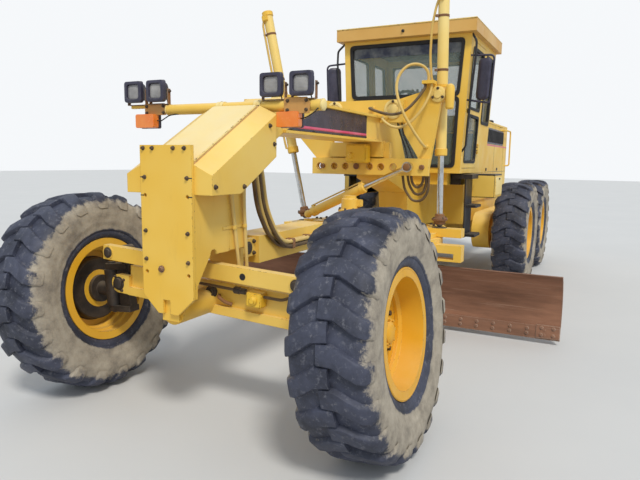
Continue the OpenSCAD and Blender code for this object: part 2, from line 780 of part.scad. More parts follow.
// Each lamp has a housing, a wider rim round a sunk glass, and a foot
module work_lamps() {
  color(dark) place() for (y = [-865, -663, 261, 472]) {
    blk([-330, -262], [y - 64, y + 64], [1996, 2114]);
    difference() {
      blk([-265, -240], [y - 75, y + 75], [1985, 2125]);
      blk([-252, -239], [y - 63, y + 63], [1997, 2113]);
    }
    blk([-310, -290], [y - 12, y + 12], [1965 + gap, 2000]);
  }
}

module turn_signals() {
  color([0.95, 0.45, 0.1]) place() {
    blk([-330, -250], [-862, -689], [1805, 1905]);
    blk([-306, -294], [-790, -765], [1900, 1945 - gap]);
    blk([-330, -250], [291, 454], [1795, 1895 - gap]);
  }
}

module side_space(side)
  place() translate([0, side * cab_low_half, cab_floor]) rotate([-side * side_tilt, 0, 0]) children();

function cab_half(z) = cab_low_half + (cab_top_half - cab_low_half) * (z - cab_floor) / cab_high;

// Window openings of the front and rear walls: [half width low, half width high, low, high]
windshield = [610, 650, 2330, 2900];
low_pane = [590, 612, 1560, 2290];
rear_pane = [580, 620, 2000, 2860];

module pane_plate(w, x0, x1, trim)
  cross_plate([[-w[0] + trim, w[2] + trim], [w[0] - trim, w[2] + trim], [w[1] - trim, w[3] - trim],
    [-w[1] + trim, w[3] - trim]], x0, x1);

module cab_shell() {
  color(yellow) place() difference() {
    cross_plate([[-cab_low_half, cab_floor], [cab_low_half, cab_floor], [cab_top_half, roof_low],
      [-cab_top_half, roof_low]], cab_x0, cab_x1);
    cross_plate([[-cab_half(cab_floor + wall_t) + wall_t, cab_floor + wall_t],
      [cab_half(cab_floor + wall_t) - wall_t, cab_floor + wall_t],
      [cab_top_half - wall_t + 1, roof_low + 5], [-cab_top_half + wall_t - 1, roof_low + 5]],
      cab_x0 + wall_t, cab_x1 - wall_t);
    pane_plate(windshield, cab_x1 - wall_t - 5, cab_x1 + 5, 0);
    pane_plate(low_pane, cab_x1 - wall_t - 5, cab_x1 + 5, 0);
    pane_plate(rear_pane, cab_x0 - 5, cab_x0 + wall_t + 5, 0);
    for (side = [-1, 1]) translate([mid_x, 0, 0]) side_space(side) {
      blk([door_x0 - door_gap, door_x1 + door_gap], [-wall_t * 2, wall_t * 2],
        [door_low - door_gap, door_high + door_gap]);
      blk([cab_x0 + 90, door_x0 - 90], [-wall_t * 2, wall_t * 2], [600, side_high - 120]);
    }
  }
  color(yellow) for (side = [-1, 1]) side_space(side) outward(side) for (z = hinge_z) {
    for (h = [z - 22, z + hinge_len + 5]) {
      blk([door_x0 - 45, door_x0], [1, hinge_y + 10], [h, h + 17]);
      blk([door_x0 - 45, door_x0 - 10], [-10, hinge_y], [h, h + 17]);
      rod_z(door_x0, hinge_y, h, h + 17, 10);
    }
    rod_z(door_x0, hinge_y, z - 22, z + hinge_len + 22, hinge_pin_r);
  }
}

module cab_glass() {
  color([0.5, 0.6, 0.6, 0.4]) {
    place() {
      for (w = [windshield, low_pane]) pane_plate(w, cab_x1 - 30, cab_x1 - 30 + glass_t, gap);
      pane_plate(rear_pane, cab_x0 + 25, cab_x0 + 25 + glass_t, gap);
    }
    for (side = [-1, 1]) side_space(side)
      blk([cab_x0 + 90 + gap, door_x0 - 90 - gap], side > 0 ? [-30, -30 + glass_t] : [30 - glass_t, 30],
        [600 + gap, side_high - 120 - gap]);
  }
}

module door(side) {
  color(yellow) side_space(side) outward(side) {
    difference() {
      blk([door_x0, door_x1], [-door_t, 0], [door_low, door_high]);
      blk([door_x0 + 60, door_x1 - 50], [-door_t - 5, 5], [door_low + 70, 640]);
      blk([door_x0 + 60, door_x1 - 50], [-door_t - 5, 5], [720, door_high - 70]);
    }
    blk([door_x0 + 55, door_x1 - 45], [-door_t / 2 - 3, -door_t / 2 + 3], [door_low + 60, 650]);
    blk([door_x0 + 55, door_x1 - 45], [-door_t / 2 - 3, -door_t / 2 + 3], [710, door_high - 60]);
    for (z = hinge_z) difference() {
      union() {
        rod_z(door_x0, hinge_y, z, z + hinge_len, 12);
        blk([door_x0, door_x0 + 45], [-2, 8], [z, z + hinge_len]);
      }
      rod_z(door_x0, hinge_y, z - 1, z + hinge_len + 1, hinge_pin_r + fit);
    }
  }
}

module cab_roof() {
  color(yellow) place()
    blk([cab_x0 - 40, cab_x1 + 90], [-cab_top_half - 60, cab_top_half + 60], [roof_low + gap, roof_low + roof_t]);
}

module seat() {
  z0 = cab_floor + wall_t + gap;
  color(dark) place() {
    blk([-4200, -3900], [-180, 180], [z0, z0 + 280]);
    blk([-4280, -3820], [-250, 250], [z0 + 280, z0 + 400]);
    blk([-4340, -4220], [-240, 240], [z0 + 400, z0 + 950]);
  }
}

module console() {
  z0 = cab_floor + wall_t + gap;
  color(dark) place() {
    side_plate([[-3640, z0], [-3740, z0], [-3800, z0 + 700], [-3640, z0 + 700]], -170, 170);
    translate([-3770, 0, z0 + 740]) rotate([0, -35, 0]) {
      difference() {
        cylinder(r = 215, h = 30);
        translate([0, 0, -1]) cylinder(r = 185, h = 32);
      }
      blk([-190, 190], [-15, 15], [5, 25]);
      cylinder(r = 40, h = 30);
      translate([0, 0, -120]) cylinder(r = 30, h = 130);
    }
  }
}

module mirrors() {
  color(dark) for (side = [-1, 1]) side_space(side) outward(side) {
    blk([cab_x1 - 40, cab_x1 - 10], [gap, 330], [1400, 1430]);
    blk([cab_x1 - 40, cab_x1 - 10], [300, 330], [860, 1430]);
    blk([cab_x1 - 45, cab_x1 - 5], [210, 390], [900, 1320]);
  }
}

module side_steps() {
  color(dark) place() both_sides() {
    blk([-3960, -3640], [700, 715], [760, cab_floor - gap - 40]);
    for (z = [770, 1100]) blk([-3940, -3660], [710, 830], [z, z + 25]);
    blk([-3960, -3640], [560, 780], [cab_floor - 60, cab_floor - gap - 10]);
    blk([-4500, -4050], [640, 950], [1200, cab_floor - gap - 10]);
    blk([-4450, -3700], [520 + gap, 640], [hitch_top + 60, cab_floor - gap - 10]);
  }
}

module rear_frame() {
  color(yellow) place() {
    difference() {
      union() {
        rod_z(hitch_x, 0, hitch_low, hitch_top, hitch_r);
        blk([hitch_x - 200, hitch_x], [-hitch_r, hitch_r], [hitch_low, hitch_top]);
      }
      rod_z(hitch_x, 0, hitch_low - 5, hitch_top + 5, hitch_pin_r + fit);
    }
    blk([rail_front, rail_front + 40], [-400, 400], [rail_low, 1360]);
  }
}

module rear_rails() {
  color(yellow) place() both_sides() difference() {
    blk([bumper_x + 60 + gap, rail_front - gap], [rail_in, 400], [rail_low, rail_high]);
    rod_y(-wheel_base, rail_in - 5, 405, tyre_r + 20, 190 + gap);
  }
}

// The bumper with its towing plate, and the two beams under the engine
module rear_beams() {
  color(yellow) place() {
    blk([bumper_x, bumper_x + 60], [-560, 560], [760, 1120]);
    both_sides() blk([bumper_x + 5, bumper_x + 60], [30, 70], [670, 800]);
    difference() {
      union() {
        blk([bumper_x + 5, bumper_x + 340], [-70, 70], [640, 680]);
        blk([bumper_x + 180, bumper_x + 340], [-400, 400], [680, rail_low - gap]);
      }
      rod_z(bumper_x + 55, 0, 630, 690, tow_r);
    }
    for (x = [engine_x1 - 300, engine_x0 + 100])
      blk([x, x + 100], [-rail_in + gap, rail_in - gap], [rail_high - 100, rail_high]);
  }
}

module engine_block() {
  color([0.3, 0.3, 0.3]) place() blk([engine_x0, engine_x1], [-320, 320], [rail_high + gap, hood_top - 180]);
}

// The hood is open below, with louvres on its sides and a grille over the cooler at its rear
module hood() {
  skin = 10;
  color(yellow) place() {
    difference() {
      blk([hood_x0, hood_x1], [-hood_half, hood_half], [rail_high + gap, hood_top]);
      blk([hood_x0 + skin, hood_x1 - skin], [-hood_half + skin, hood_half - skin], [rail_high - 10, hood_top - skin]);
      blk([hood_x0 - 5, hood_x0 + skin + 5], [-330, 330], [1300, hood_top - 120]);
    }
    both_sides() for (x = [hood_x0 + 460 : 100 : hood_x0 + 1960])
      blk([x, x + 60], [hood_half - 2, hood_half + 12], [hood_top - 300, hood_top - 130]);
    for (z = [1330 : 60 : hood_top - 160]) blk([hood_x0, hood_x0 + skin], [-335, 335], [z, z + 25]);
  }
}

// The axle housing, and on each side a case that carries two wheels
module tandem_cases() {
  color(yellow) place() {
    rod_y(-wheel_base, -480, 480, tyre_r + 20, 190);
    both_sides() {
      for (step = [-1, 1]) {
        rod_y(-wheel_base + step * tandem_pitch / 2, 490, 720, tyre_r, 245);
        rod_y(-wheel_base + step * tandem_pitch / 2, 720, rear_track / 2 - hub_in - gap, tyre_r, 90);
      }
      blk([-wheel_base - tandem_pitch / 2, -wheel_base + tandem_pitch / 2], [490, 720], [tyre_r - 245, tyre_r + 245]);
      rod_y(-wheel_base, 480 + gap, 490, tyre_r + 20, 190);
    }
  }
}

module stacks() {
  color(dark) place() {
    rod_z(-7100, 250, hood_top + gap, hood_top + 80, 90);
    rod_z(-5650, -250, hood_top + gap, 2860, 55);
  }
}

front_frame();
front_plate();
lift_arms();
front_axle();
lamp_bar();
work_lamps();
turn_signals();
cab_shell();
cab_roof();
cab_glass();
seat();
console();
mirrors();
side_steps();
lean_yoke(1);  // lean_yoke_left
lean_yoke(-1);  // lean_yoke_right
lean_bar();
knuckle(1);  // knuckle_left
knuckle(-1);  // knuckle_right
tie_rod_boot();
tie_rod();
color(dark) front_wheel_at(1) outward(1) tyre_shape();  // tyre_front_left
color(dark) front_wheel_at(-1) outward(-1) tyre_shape();  // tyre_front_right
front_wheel_at(1) rim_shape();  // rim_front_left
front_wheel_at(-1) rim_shape();  // rim_front_right
color(dark) rear_wheel_at(1, 1) outward(1) tyre_shape();  // tyre_mid_left
color(dark) rear_wheel_at(-1, 1) outward(-1) tyre_shape();  // tyre_mid_right
rear_wheel_at(1, 1) rim_shape();  // rim_mid_left
rear_wheel_at(-1, 1) rim_shape();  // rim_mid_right
color(dark) rear_wheel_at(1, -1) outward(1) tyre_shape();  // tyre_rear_left
color(dark) rear_wheel_at(-1, -1) outward(-1) tyre_shape();  // tyre_rear_right
rear_wheel_at(1, -1) rim_shape();  // rim_rear_left
rear_wheel_at(-1, -1) rim_shape();  // rim_rear_right
door(1);  // door_left
door(-1);  // door_right
rear_frame();
rear_rails();
rear_beams();
engine_block();
hood();
tandem_cases();
stacks();
drawbar_pivot();
drawbar();
turn_circle();  // circle
blade_carrier();
moldboard();
cutting_edge();
lift_ring(trunnion_left, eye_left);  // lift_ring_left
lift_ring(trunnion_right, eye_right);  // lift_ring_right
lift_barrel(trunnion_left, eye_left);  // lift_barrel_left
lift_barrel(trunnion_right, eye_right);  // lift_barrel_right
lift_rod(trunnion_left, eye_left);  // lift_rod_left
lift_rod(trunnion_right, eye_right);  // lift_rod_right
shift_ring();
shift_barrel();
shift_rod();
hose(hose_inner);
hose(hose_outer);
hose(hose_loop);
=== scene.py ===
import json
import math

import bmesh
import bpy
from mathutils import Matrix, Vector


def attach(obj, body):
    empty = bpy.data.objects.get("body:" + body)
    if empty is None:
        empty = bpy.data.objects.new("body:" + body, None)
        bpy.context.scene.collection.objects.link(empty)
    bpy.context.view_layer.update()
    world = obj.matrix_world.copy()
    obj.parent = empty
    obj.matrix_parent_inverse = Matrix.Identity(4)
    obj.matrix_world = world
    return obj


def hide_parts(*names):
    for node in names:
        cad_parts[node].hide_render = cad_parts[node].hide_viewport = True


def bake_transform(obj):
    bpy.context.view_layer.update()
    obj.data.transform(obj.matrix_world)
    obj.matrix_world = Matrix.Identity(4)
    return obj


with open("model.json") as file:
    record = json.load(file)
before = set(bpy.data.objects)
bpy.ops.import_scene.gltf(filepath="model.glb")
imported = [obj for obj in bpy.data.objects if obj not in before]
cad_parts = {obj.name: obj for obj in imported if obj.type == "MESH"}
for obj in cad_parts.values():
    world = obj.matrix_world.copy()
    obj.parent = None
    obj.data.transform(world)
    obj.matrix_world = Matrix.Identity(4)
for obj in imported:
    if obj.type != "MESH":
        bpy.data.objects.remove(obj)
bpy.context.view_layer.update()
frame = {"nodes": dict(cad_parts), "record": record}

# Metres. Lengths along the machine are given from the front axle, this far ahead of the frame's zero.
AXLE_X = 3.683
FORWARD = (1, 0, 0)
BACKWARD = (-1, 0, 0)
UPWARD = (0, 0, 1)
SIDES = (("left", 1), ("right", -1))
JOINTS = {joint["name"]: joint for joint in frame["record"]["behaviour"]["joints"]}


def joint_place(name):
    """A joint's place, from the front axle."""
    return Vector(JOINTS[name]["pos_m"]) - Vector((AXLE_X, 0, 0))


def srgb(red, green, blue):
    """A colour named in 0 to 255 screen values, as linear light with alpha 1."""
    linear = [((v / 255 + 0.055) / 1.055) ** 2.4 if v > 10 else v / 255 / 12.92 for v in (red, green, blue)]
    return (*linear, 1.0)


# Materials


class Finish:
    """One material under construction: nodes are added by kind and linked by socket name."""

    def __init__(self, name, roughness=0.5, metallic=0.0):
        self.material = bpy.data.materials.new(name)
        self.material.use_nodes = True
        self.tree = self.material.node_tree
        self.shader = self.tree.nodes["Principled BSDF"]
        self.shader.inputs["Roughness"].default_value = roughness
        self.shader.inputs["Metallic"].default_value = metallic
        self.place = self.add("ShaderNodeTexCoord").outputs["Object"]

    def add(self, kind, links=None, **values):
        made = self.tree.nodes.new(kind)
        for name, value in values.items():
            if name in made.inputs:
                made.inputs[name].default_value = value
            else:
                setattr(made, name, value)
        for socket, source in (links or {}).items():
            self.tree.links.new(source, made.inputs[socket])
        return made

    def feed(self, socket, value):
        """A socket takes a link from another socket, or else a plain value."""
        if isinstance(value, bpy.types.NodeSocket):
            self.tree.links.new(value, socket)
        else:
            socket.default_value = value

    def noise(self, scale, detail=4.0, roughness=0.6, stretch=(1, 1, 1)):
        mapped = self.add("ShaderNodeMapping", {"Vector": self.place})
        mapped.inputs["Scale"].default_value = stretch
        made = self.add("ShaderNodeTexNoise", {"Vector": mapped.outputs["Vector"]})
        made.inputs["Scale"].default_value = scale
        made.inputs["Detail"].default_value = detail
        made.inputs["Roughness"].default_value = roughness
        return made.outputs["Fac"]

    def bands(self, scale, direction):
        made = self.add("ShaderNodeTexWave", {"Vector": self.place}, bands_direction=direction)
        made.inputs["Scale"].default_value = scale
        return made.outputs["Fac"]

    def steps(self, source, *stops):
        """A ramp of grey or colour: each stop is (position, value or colour)."""
        ramp = self.add("ShaderNodeValToRGB", {"Fac": source})
        points = ramp.color_ramp.elements
        while len(points) < len(stops):
            points.new(1.0)
        for point, (position, value) in zip(points, stops):
            point.position = position
            point.color = value if isinstance(value, tuple) else (value, value, value, 1)
        return ramp.outputs["Color"]

    def blend(self, amount, below, above):
        """Colour mixed from below to above; each may be a socket or a colour."""
        mixed = self.add("ShaderNodeMix", data_type="RGBA")
        for socket, value in ((mixed.inputs[0], amount), (mixed.inputs[6], below), (mixed.inputs[7], above)):
            self.feed(socket, value)
        return mixed.outputs[2]

    def sums(self, kind, first, second=0.0):
        made = self.add("ShaderNodeMath", operation=kind)
        self.feed(made.inputs[0], first)
        self.feed(made.inputs[1], second)
        return made.outputs[0]

    def upward(self):
        """How far a face looks up, from 0 to 1."""
        normal = self.add("ShaderNodeNewGeometry").outputs["Normal"]
        return self.add("ShaderNodeSeparateXYZ", {"Vector": normal}).outputs["Z"]

    def edges(self, radius):
        """Near 1 on sharp outer and inner edges, from the rounded normal against the true one."""
        rounded = self.add("ShaderNodeBevel", samples=4)
        rounded.inputs["Radius"].default_value = radius
        flat = self.add("ShaderNodeNewGeometry").outputs["Normal"]
        product = self.add("ShaderNodeVectorMath", operation="DOT_PRODUCT")
        self.tree.links.new(rounded.outputs["Normal"], product.inputs[0])
        self.tree.links.new(flat, product.inputs[1])
        turned = self.sums("SUBTRACT", 1.0, product.outputs["Value"])
        return self.steps(turned, (0.02, 0.0), (0.12, 1.0)), rounded.outputs["Normal"]

    def colour(self, source):
        self.tree.links.new(source, self.shader.inputs["Base Color"])
        return self

    def rough(self, source):
        self.tree.links.new(source, self.shader.inputs["Roughness"])
        return self

    def bump(self, height, distance, normal=None, strength=1.0):
        made = self.add("ShaderNodeBump", {"Height": height}, Distance=distance, Strength=strength)
        if normal is not None:
            self.tree.links.new(normal, made.inputs["Normal"])
        self.tree.links.new(made.outputs["Normal"], self.shader.inputs["Normal"])
        return made.outputs["Normal"]


def painted_steel(name, base, faded, dirt, dust=0.35):
    """Old machine paint: sun-faded in patches, dirt in streaks, dust on top, rust at chipped edges."""
    f = Finish(name, roughness=0.45)
    patches = f.steps(f.noise(1.3, 3, 0.55), (0.35, 0.0), (0.7, 1.0))
    paint = f.blend(patches, base, faded)
    streaks = f.steps(f.noise(5.0, 6, 0.7, (1, 1, 0.25)), (0.58, 0.0), (0.85, 0.32))
    paint = f.blend(streaks, paint, dirt)
    grain = f.steps(f.noise(9.0, 5), (0.3, 0.5), (0.7, 1.0))
    top = f.sums("MULTIPLY", f.steps(f.upward(), (0.35, 0.0), (0.95, dust)), grain)
    paint = f.blend(top, paint, srgb(232, 216, 178))
    edge, rounded = f.edges(0.006)
    flakes = f.steps(f.noise(38.0, 4, 0.7), (0.56, 0.0), (0.6, 1.0))
    paint = f.blend(f.sums("MULTIPLY", edge, flakes), paint, srgb(98, 62, 40))
    spots = f.steps(f.noise(60.0, 5, 0.75), (0.77, 0.0), (0.79, 0.6))
    f.colour(f.blend(spots, paint, srgb(128, 88, 52)))
    f.rough(f.steps(f.noise(7.0, 4), (0.3, 0.36), (0.75, 0.6)))
    f.bump(f.noise(90.0, 2, 0.5), 0.0006, rounded, 0.35)
    return f.material


def tyre_rubber(name):
    """Blue-black worn lugs, grey-beige dust over the sidewalls in a ragged edge, a clean ring at the bead."""
    f = Finish(name, roughness=0.8)
    wear = f.add("ShaderNodeAttribute", attribute_name="dust").outputs["Fac"]
    swing = f.sums("MULTIPLY", f.sums("SUBTRACT", f.noise(7.0, 7, 0.72), 0.5), 1.45)
    cover = f.steps(f.sums("ADD", wear, swing), (0.42, 0.0), (0.56, 0.8), (0.8, 0.97))
    tones = f.steps(f.noise(5.0, 6, 0.7), (0.35, 0.0), (0.7, 1.0))
    rubber = f.blend(tones, srgb(38, 41, 54), srgb(72, 76, 95))
    scuffs = f.steps(f.noise(30.0, 6, 0.75), (0.55, 0.0), (0.75, 0.6))
    rubber = f.blend(scuffs, rubber, srgb(142, 142, 150))
    patches = f.steps(f.noise(7.0, 7, 0.72), (0.3, 0.0), (0.7, 1.0))
    powder = f.blend(patches, srgb(130, 121, 108), srgb(184, 174, 157))
    f.colour(f.blend(cover, rubber, powder))
    f.rough(f.steps(cover, (0.0, 0.62), (1.0, 0.95)))
    f.bump(f.noise(55.0, 7, 0.75), 0.004, None, 0.5)
    return f.material


def rusty_steel(name, dark, light, scratched, metallic=0.35):
    """Bare blade steel: brown rust in long runs, polished scratches along the blade."""
    f = Finish(name, roughness=0.6, metallic=metallic)
    runs = f.steps(f.noise(3.0, 7, 0.7, (1, 0.35, 2.5)), (0.3, 0.0), (0.7, 1.0))
    rust = f.blend(runs, dark, light)
    scores = f.steps(f.noise(9.0, 6, 0.75, (1, 0.12, 6)), (0.56, 0.0), (0.72, 0.75))
    rust = f.blend(scores, rust, scratched)
    edge, rounded = f.edges(0.005)
    f.colour(f.blend(f.sums("MULTIPLY", edge, 0.7), rust, srgb(196, 176, 160)))
    f.rough(f.steps(scores, (0.0, 0.72), (0.7, 0.42)))
    f.bump(f.noise(70.0, 7, 0.8), 0.0015, rounded, 0.5)
    return f.material


def dark_parts(name, base, worn, roughness, dusty=0.55):
    """Black paint, plastic, rubber or greasy iron, with dust and grey rubbed edges."""
    f = Finish(name, roughness=roughness)
    tone = f.blend(f.steps(f.noise(8.0, 6, 0.7), (0.4, 0.0), (0.7, 0.7)), base, worn)
    dust = f.sums("MULTIPLY", f.steps(f.upward(), (0.3, 0.0), (0.95, dusty)), f.noise(12.0, 5))
    tone = f.blend(dust, tone, srgb(150, 138, 118))
    edge, rounded = f.edges(0.004)
    f.colour(f.blend(f.sums("MULTIPLY", edge, 0.35), tone, srgb(120, 116, 110)))
    f.rough(f.steps(f.noise(15.0, 4), (0.3, roughness - 0.08), (0.8, roughness + 0.12)))
    f.bump(f.noise(60.0, 5, 0.6), 0.001, rounded, 0.4)
    return f.material


def polished_rod(name):
    f = Finish(name, roughness=0.16, metallic=1.0)
    film = f.steps(f.noise(14.0, 5), (0.45, 0.0), (0.7, 0.5))
    f.colour(f.blend(film, srgb(214, 214, 212), srgb(150, 140, 122)))
    f.rough(f.steps(f.noise(22.0, 4), (0.3, 0.12), (0.8, 0.34)))
    return f.material


def tinted_pane(name, tint, alpha):
    """Flat glass with a film of dust in patches."""
    f = Finish(name, roughness=0.04)
    f.colour(f.blend(f.steps(f.noise(6.0, 5), (0.4, 0.0), (0.8, 0.5)), tint, srgb(168, 172, 164)))
    f.shader.inputs["Alpha"].default_value = alpha
    f.shader.inputs["IOR"].default_value = 1.5
    f.rough(f.steps(f.noise(3.0, 4), (0.3, 0.03), (0.8, 0.16)))
    f.bump(f.noise(2.5, 2), 0.001, None, 0.15)
    return f.material


def lamp_lens(name, pale, deep, direction, ribs):
    """Pressed lamp glass with ribs, cloudy with age."""
    f = Finish(name, roughness=0.2)
    ridge = f.bands(ribs, direction)
    tone = f.blend(f.steps(f.noise(9.0, 4), (0.3, 0.0), (0.75, 1.0)), deep, pale)
    f.colour(f.blend(f.sums("MULTIPLY", ridge, 0.3), tone, pale))
    f.rough(f.steps(f.noise(16.0, 4), (0.3, 0.14), (0.8, 0.34)))
    f.bump(ridge, 0.001, None, 0.7)
    f.shader.inputs["Coat Weight"].default_value = 0.3
    return f.material


def stripe_tape(name, colour):
    """Sun-bleached tape with fine cracks and lifted grey edges."""
    f = Finish(name, roughness=0.4)
    pale = f.blend(f.steps(f.noise(4.0, 5), (0.35, 0.0), (0.75, 0.7)), colour, srgb(228, 150, 160))
    cracks = f.steps(f.noise(70.0, 6, 0.8), (0.62, 0.0), (0.66, 0.8))
    f.colour(f.blend(cracks, pale, srgb(70, 52, 54)))
    f.rough(f.steps(f.noise(20.0, 3), (0.3, 0.34), (0.8, 0.55)))
    f.bump(f.noise(80.0, 4, 0.6), 0.0005, None, 0.4)
    return f.material


def seat_weave(name, base, worn):
    """Woven cloth in two directions, rubbed lighter where people sit."""
    f = Finish(name, roughness=0.92)
    across = f.bands(180, "Y")
    along = f.bands(180, "X")
    weave = f.sums("MULTIPLY", across, along)
    tone = f.blend(f.steps(f.noise(5.0, 5), (0.35, 0.0), (0.7, 0.8)), base, worn)
    f.colour(f.blend(f.sums("MULTIPLY", weave, 0.4), tone, srgb(92, 94, 98)))
    f.bump(weave, 0.0008, None, 0.8)
    f.shader.inputs["Sheen Weight"].default_value = 0.3
    return f.material


YELLOW = painted_steel(
    "faded_yellow_paint", srgb(232, 184, 62), srgb(238, 202, 102), srgb(178, 130, 58))
CREAM = painted_steel(
    "sun_bleached_yellow", srgb(234, 200, 108), srgb(243, 222, 154), srgb(188, 148, 84), dust=0.6)
BRIGHT = painted_steel(
    "fresh_yellow_paint", srgb(232, 186, 38), srgb(236, 192, 60), srgb(190, 140, 40), dust=0.2)
RIM_YELLOW = painted_steel(
    "rim_yellow_paint", srgb(222, 164, 34), srgb(230, 180, 56), srgb(150, 98, 30), dust=0.2)
# A darker, browner copy of the yellow paint for the cab roof: painted shade of the roof's forward face, with
# some dirt.
ROOF = painted_steel(
    "weathered_roof_paint", srgb(208, 158, 76), srgb(220, 178, 104), srgb(156, 114, 62), dust=0.6)
STAINED = painted_steel(
    "rust_stained_paint", srgb(186, 132, 66), srgb(204, 156, 88), srgb(116, 74, 46))
PAINTED_HOSE = painted_steel(
    "oversprayed_hose", srgb(206, 168, 82), srgb(222, 196, 124), srgb(122, 92, 50), dust=0.4)
BLACK = dark_parts("black_paint", srgb(26, 26, 30), srgb(56, 54, 56), 0.45)
NAVY = dark_parts("navy_black_plastic", srgb(48, 46, 64), srgb(80, 78, 98), 0.4, dusty=0.3)
PANEL = dark_parts("black_side_panel", srgb(46, 42, 60), srgb(82, 74, 90), 0.3, dusty=0.3)
GREASY = dark_parts("greasy_iron", srgb(40, 34, 30), srgb(82, 68, 54), 0.6)
OLD_BOLT = dark_parts("weathered_bolt", srgb(58, 42, 30), srgb(112, 84, 48), 0.65)
RUBBER = dark_parts("black_rubber", srgb(22, 22, 24), srgb(42, 40, 40), 0.7)
LINING = dark_parts("grey_cab_lining", srgb(74, 78, 76), srgb(98, 100, 96), 0.8)
HOSE = dark_parts("dusty_brown_hose", srgb(88, 70, 48), srgb(128, 104, 70), 0.7)
TYRE = tyre_rubber("dusty_tyre_rubber")
BLADE = rusty_steel(
    "rusty_blade_steel", srgb(112, 78, 60), srgb(166, 120, 94), srgb(188, 158, 136))
EDGE = rusty_steel(
    "cutting_edge_steel", srgb(104, 74, 58), srgb(152, 110, 86), srgb(172, 150, 134))
RUST = rusty_steel(
    "rusty_bracket", srgb(94, 60, 40), srgb(150, 104, 58), srgb(128, 94, 66), metallic=0.0)
CHROME = polished_rod("chromed_rod")
MIRROR = polished_rod("mirror_glass")
PANE = tinted_pane("tinted_cab_glass", srgb(120, 136, 130), 0.30)
FILM = tinted_pane("dark_sun_strip", srgb(38, 42, 62), 0.97)
ORANGE = lamp_lens("orange_signal_lens", srgb(246, 150, 66), srgb(240, 122, 42), "Y", 60)
GLASS = lamp_lens("ribbed_lamp_glass", srgb(170, 168, 166), srgb(120, 118, 118), "Z", 40)
RED_LENS = lamp_lens("red_tail_lens", srgb(190, 44, 34), srgb(140, 20, 18), "Y", 60)
PINK = stripe_tape("pink_stripe", srgb(222, 74, 118))
RED = stripe_tape("red_stripe", srgb(186, 42, 56))
FABRIC = seat_weave("seat_cloth", srgb(34, 36, 42), srgb(58, 60, 66))

# CAD nodes and the finish each one takes; a star stands for any ending
NODE_FINISH = [
    ("rim_*", RIM_YELLOW), ("cab_roof", ROOF), ("lift_barrel_*", CREAM), ("lean_yoke_*", GREASY),
    ("knuckle_*", GREASY), ("drawbar_pivot", GREASY), ("tie_rod", GREASY), ("tie_rod_boot", RUBBER),
    ("stacks", BLACK), ("side_steps", BLACK), ("mirrors", NAVY), ("work_lamps", NAVY),
    ("turn_signals", ORANGE), ("cab_glass", PANE), ("seat", FABRIC), ("console", BLACK),
    ("engine_block", GREASY), ("moldboard", BLADE), ("cutting_edge", EDGE), ("lift_rod_*", CHROME),
    ("shift_rod", CHROME), ("tyre_*", TYRE), ("hose_*", HOSE), ("*", YELLOW)]


def finish_for(node):
    for pattern, finish in NODE_FINISH:
        if node == pattern or (pattern.endswith("*") and node.startswith(pattern[:-1])):
            return finish


for node_name, node_object in frame["nodes"].items():
    node_object.data.materials.clear()
    node_object.data.materials.append(finish_for(node_name))


def piece(name, mesh, body, finish, crease=35):
    """A mesh becomes a piece with its material; it rides on its body, unless it is to be blended."""
    mesh.polygons.foreach_set("use_smooth", [True] * len(mesh.polygons))
    mesh.set_sharp_from_angle(angle=math.radians(crease))
    made = bpy.data.objects.new(name, mesh)
    bpy.context.scene.collection.objects.link(made)
    mesh.materials.clear()
    mesh.materials.append(finish)
    if body:
        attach(made, body)
    return made


# Camera and cords

CAMERA_PLACE = Vector((2.8541 + AXLE_X, 2.176, 1.5947))
CAMERA_YAW = math.radians(206.76)
CAMERA_PITCH = math.radians(-7.79)
CAMERA_ROLL = math.radians(0.79)
# Sensor in millimetres, picture and focal length in pixels
SENSOR_WIDTH = 36
PHOTO_PIXELS = 640
FOCAL_PIXELS = 576.93


def make_camera():
    """The camera of the photograph: its place, turn and focal length come from a fit to it."""
    yaw, pitch, roll = CAMERA_YAW, CAMERA_PITCH, CAMERA_ROLL
    forward = Vector((math.cos(yaw) * math.cos(pitch), math.sin(yaw) * math.cos(pitch), math.sin(pitch)))
    level = Vector((math.sin(yaw), -math.cos(yaw), 0))
    above = level.cross(forward)
    right = level * math.cos(roll) + above * math.sin(roll)
    up = above * math.cos(roll) - level * math.sin(roll)
    data = bpy.data.cameras.new("photo_camera")
    data.sensor_width = SENSOR_WIDTH
    data.lens = SENSOR_WIDTH * FOCAL_PIXELS / PHOTO_PIXELS
    made = bpy.data.objects.new("photo_camera", data)
    bpy.context.scene.collection.objects.link(made)
    turn = Matrix((right, up, -forward)).transposed().to_4x4()
    made.matrix_world = Matrix.Translation(CAMERA_PLACE) @ turn
    bpy.context.scene.camera = made


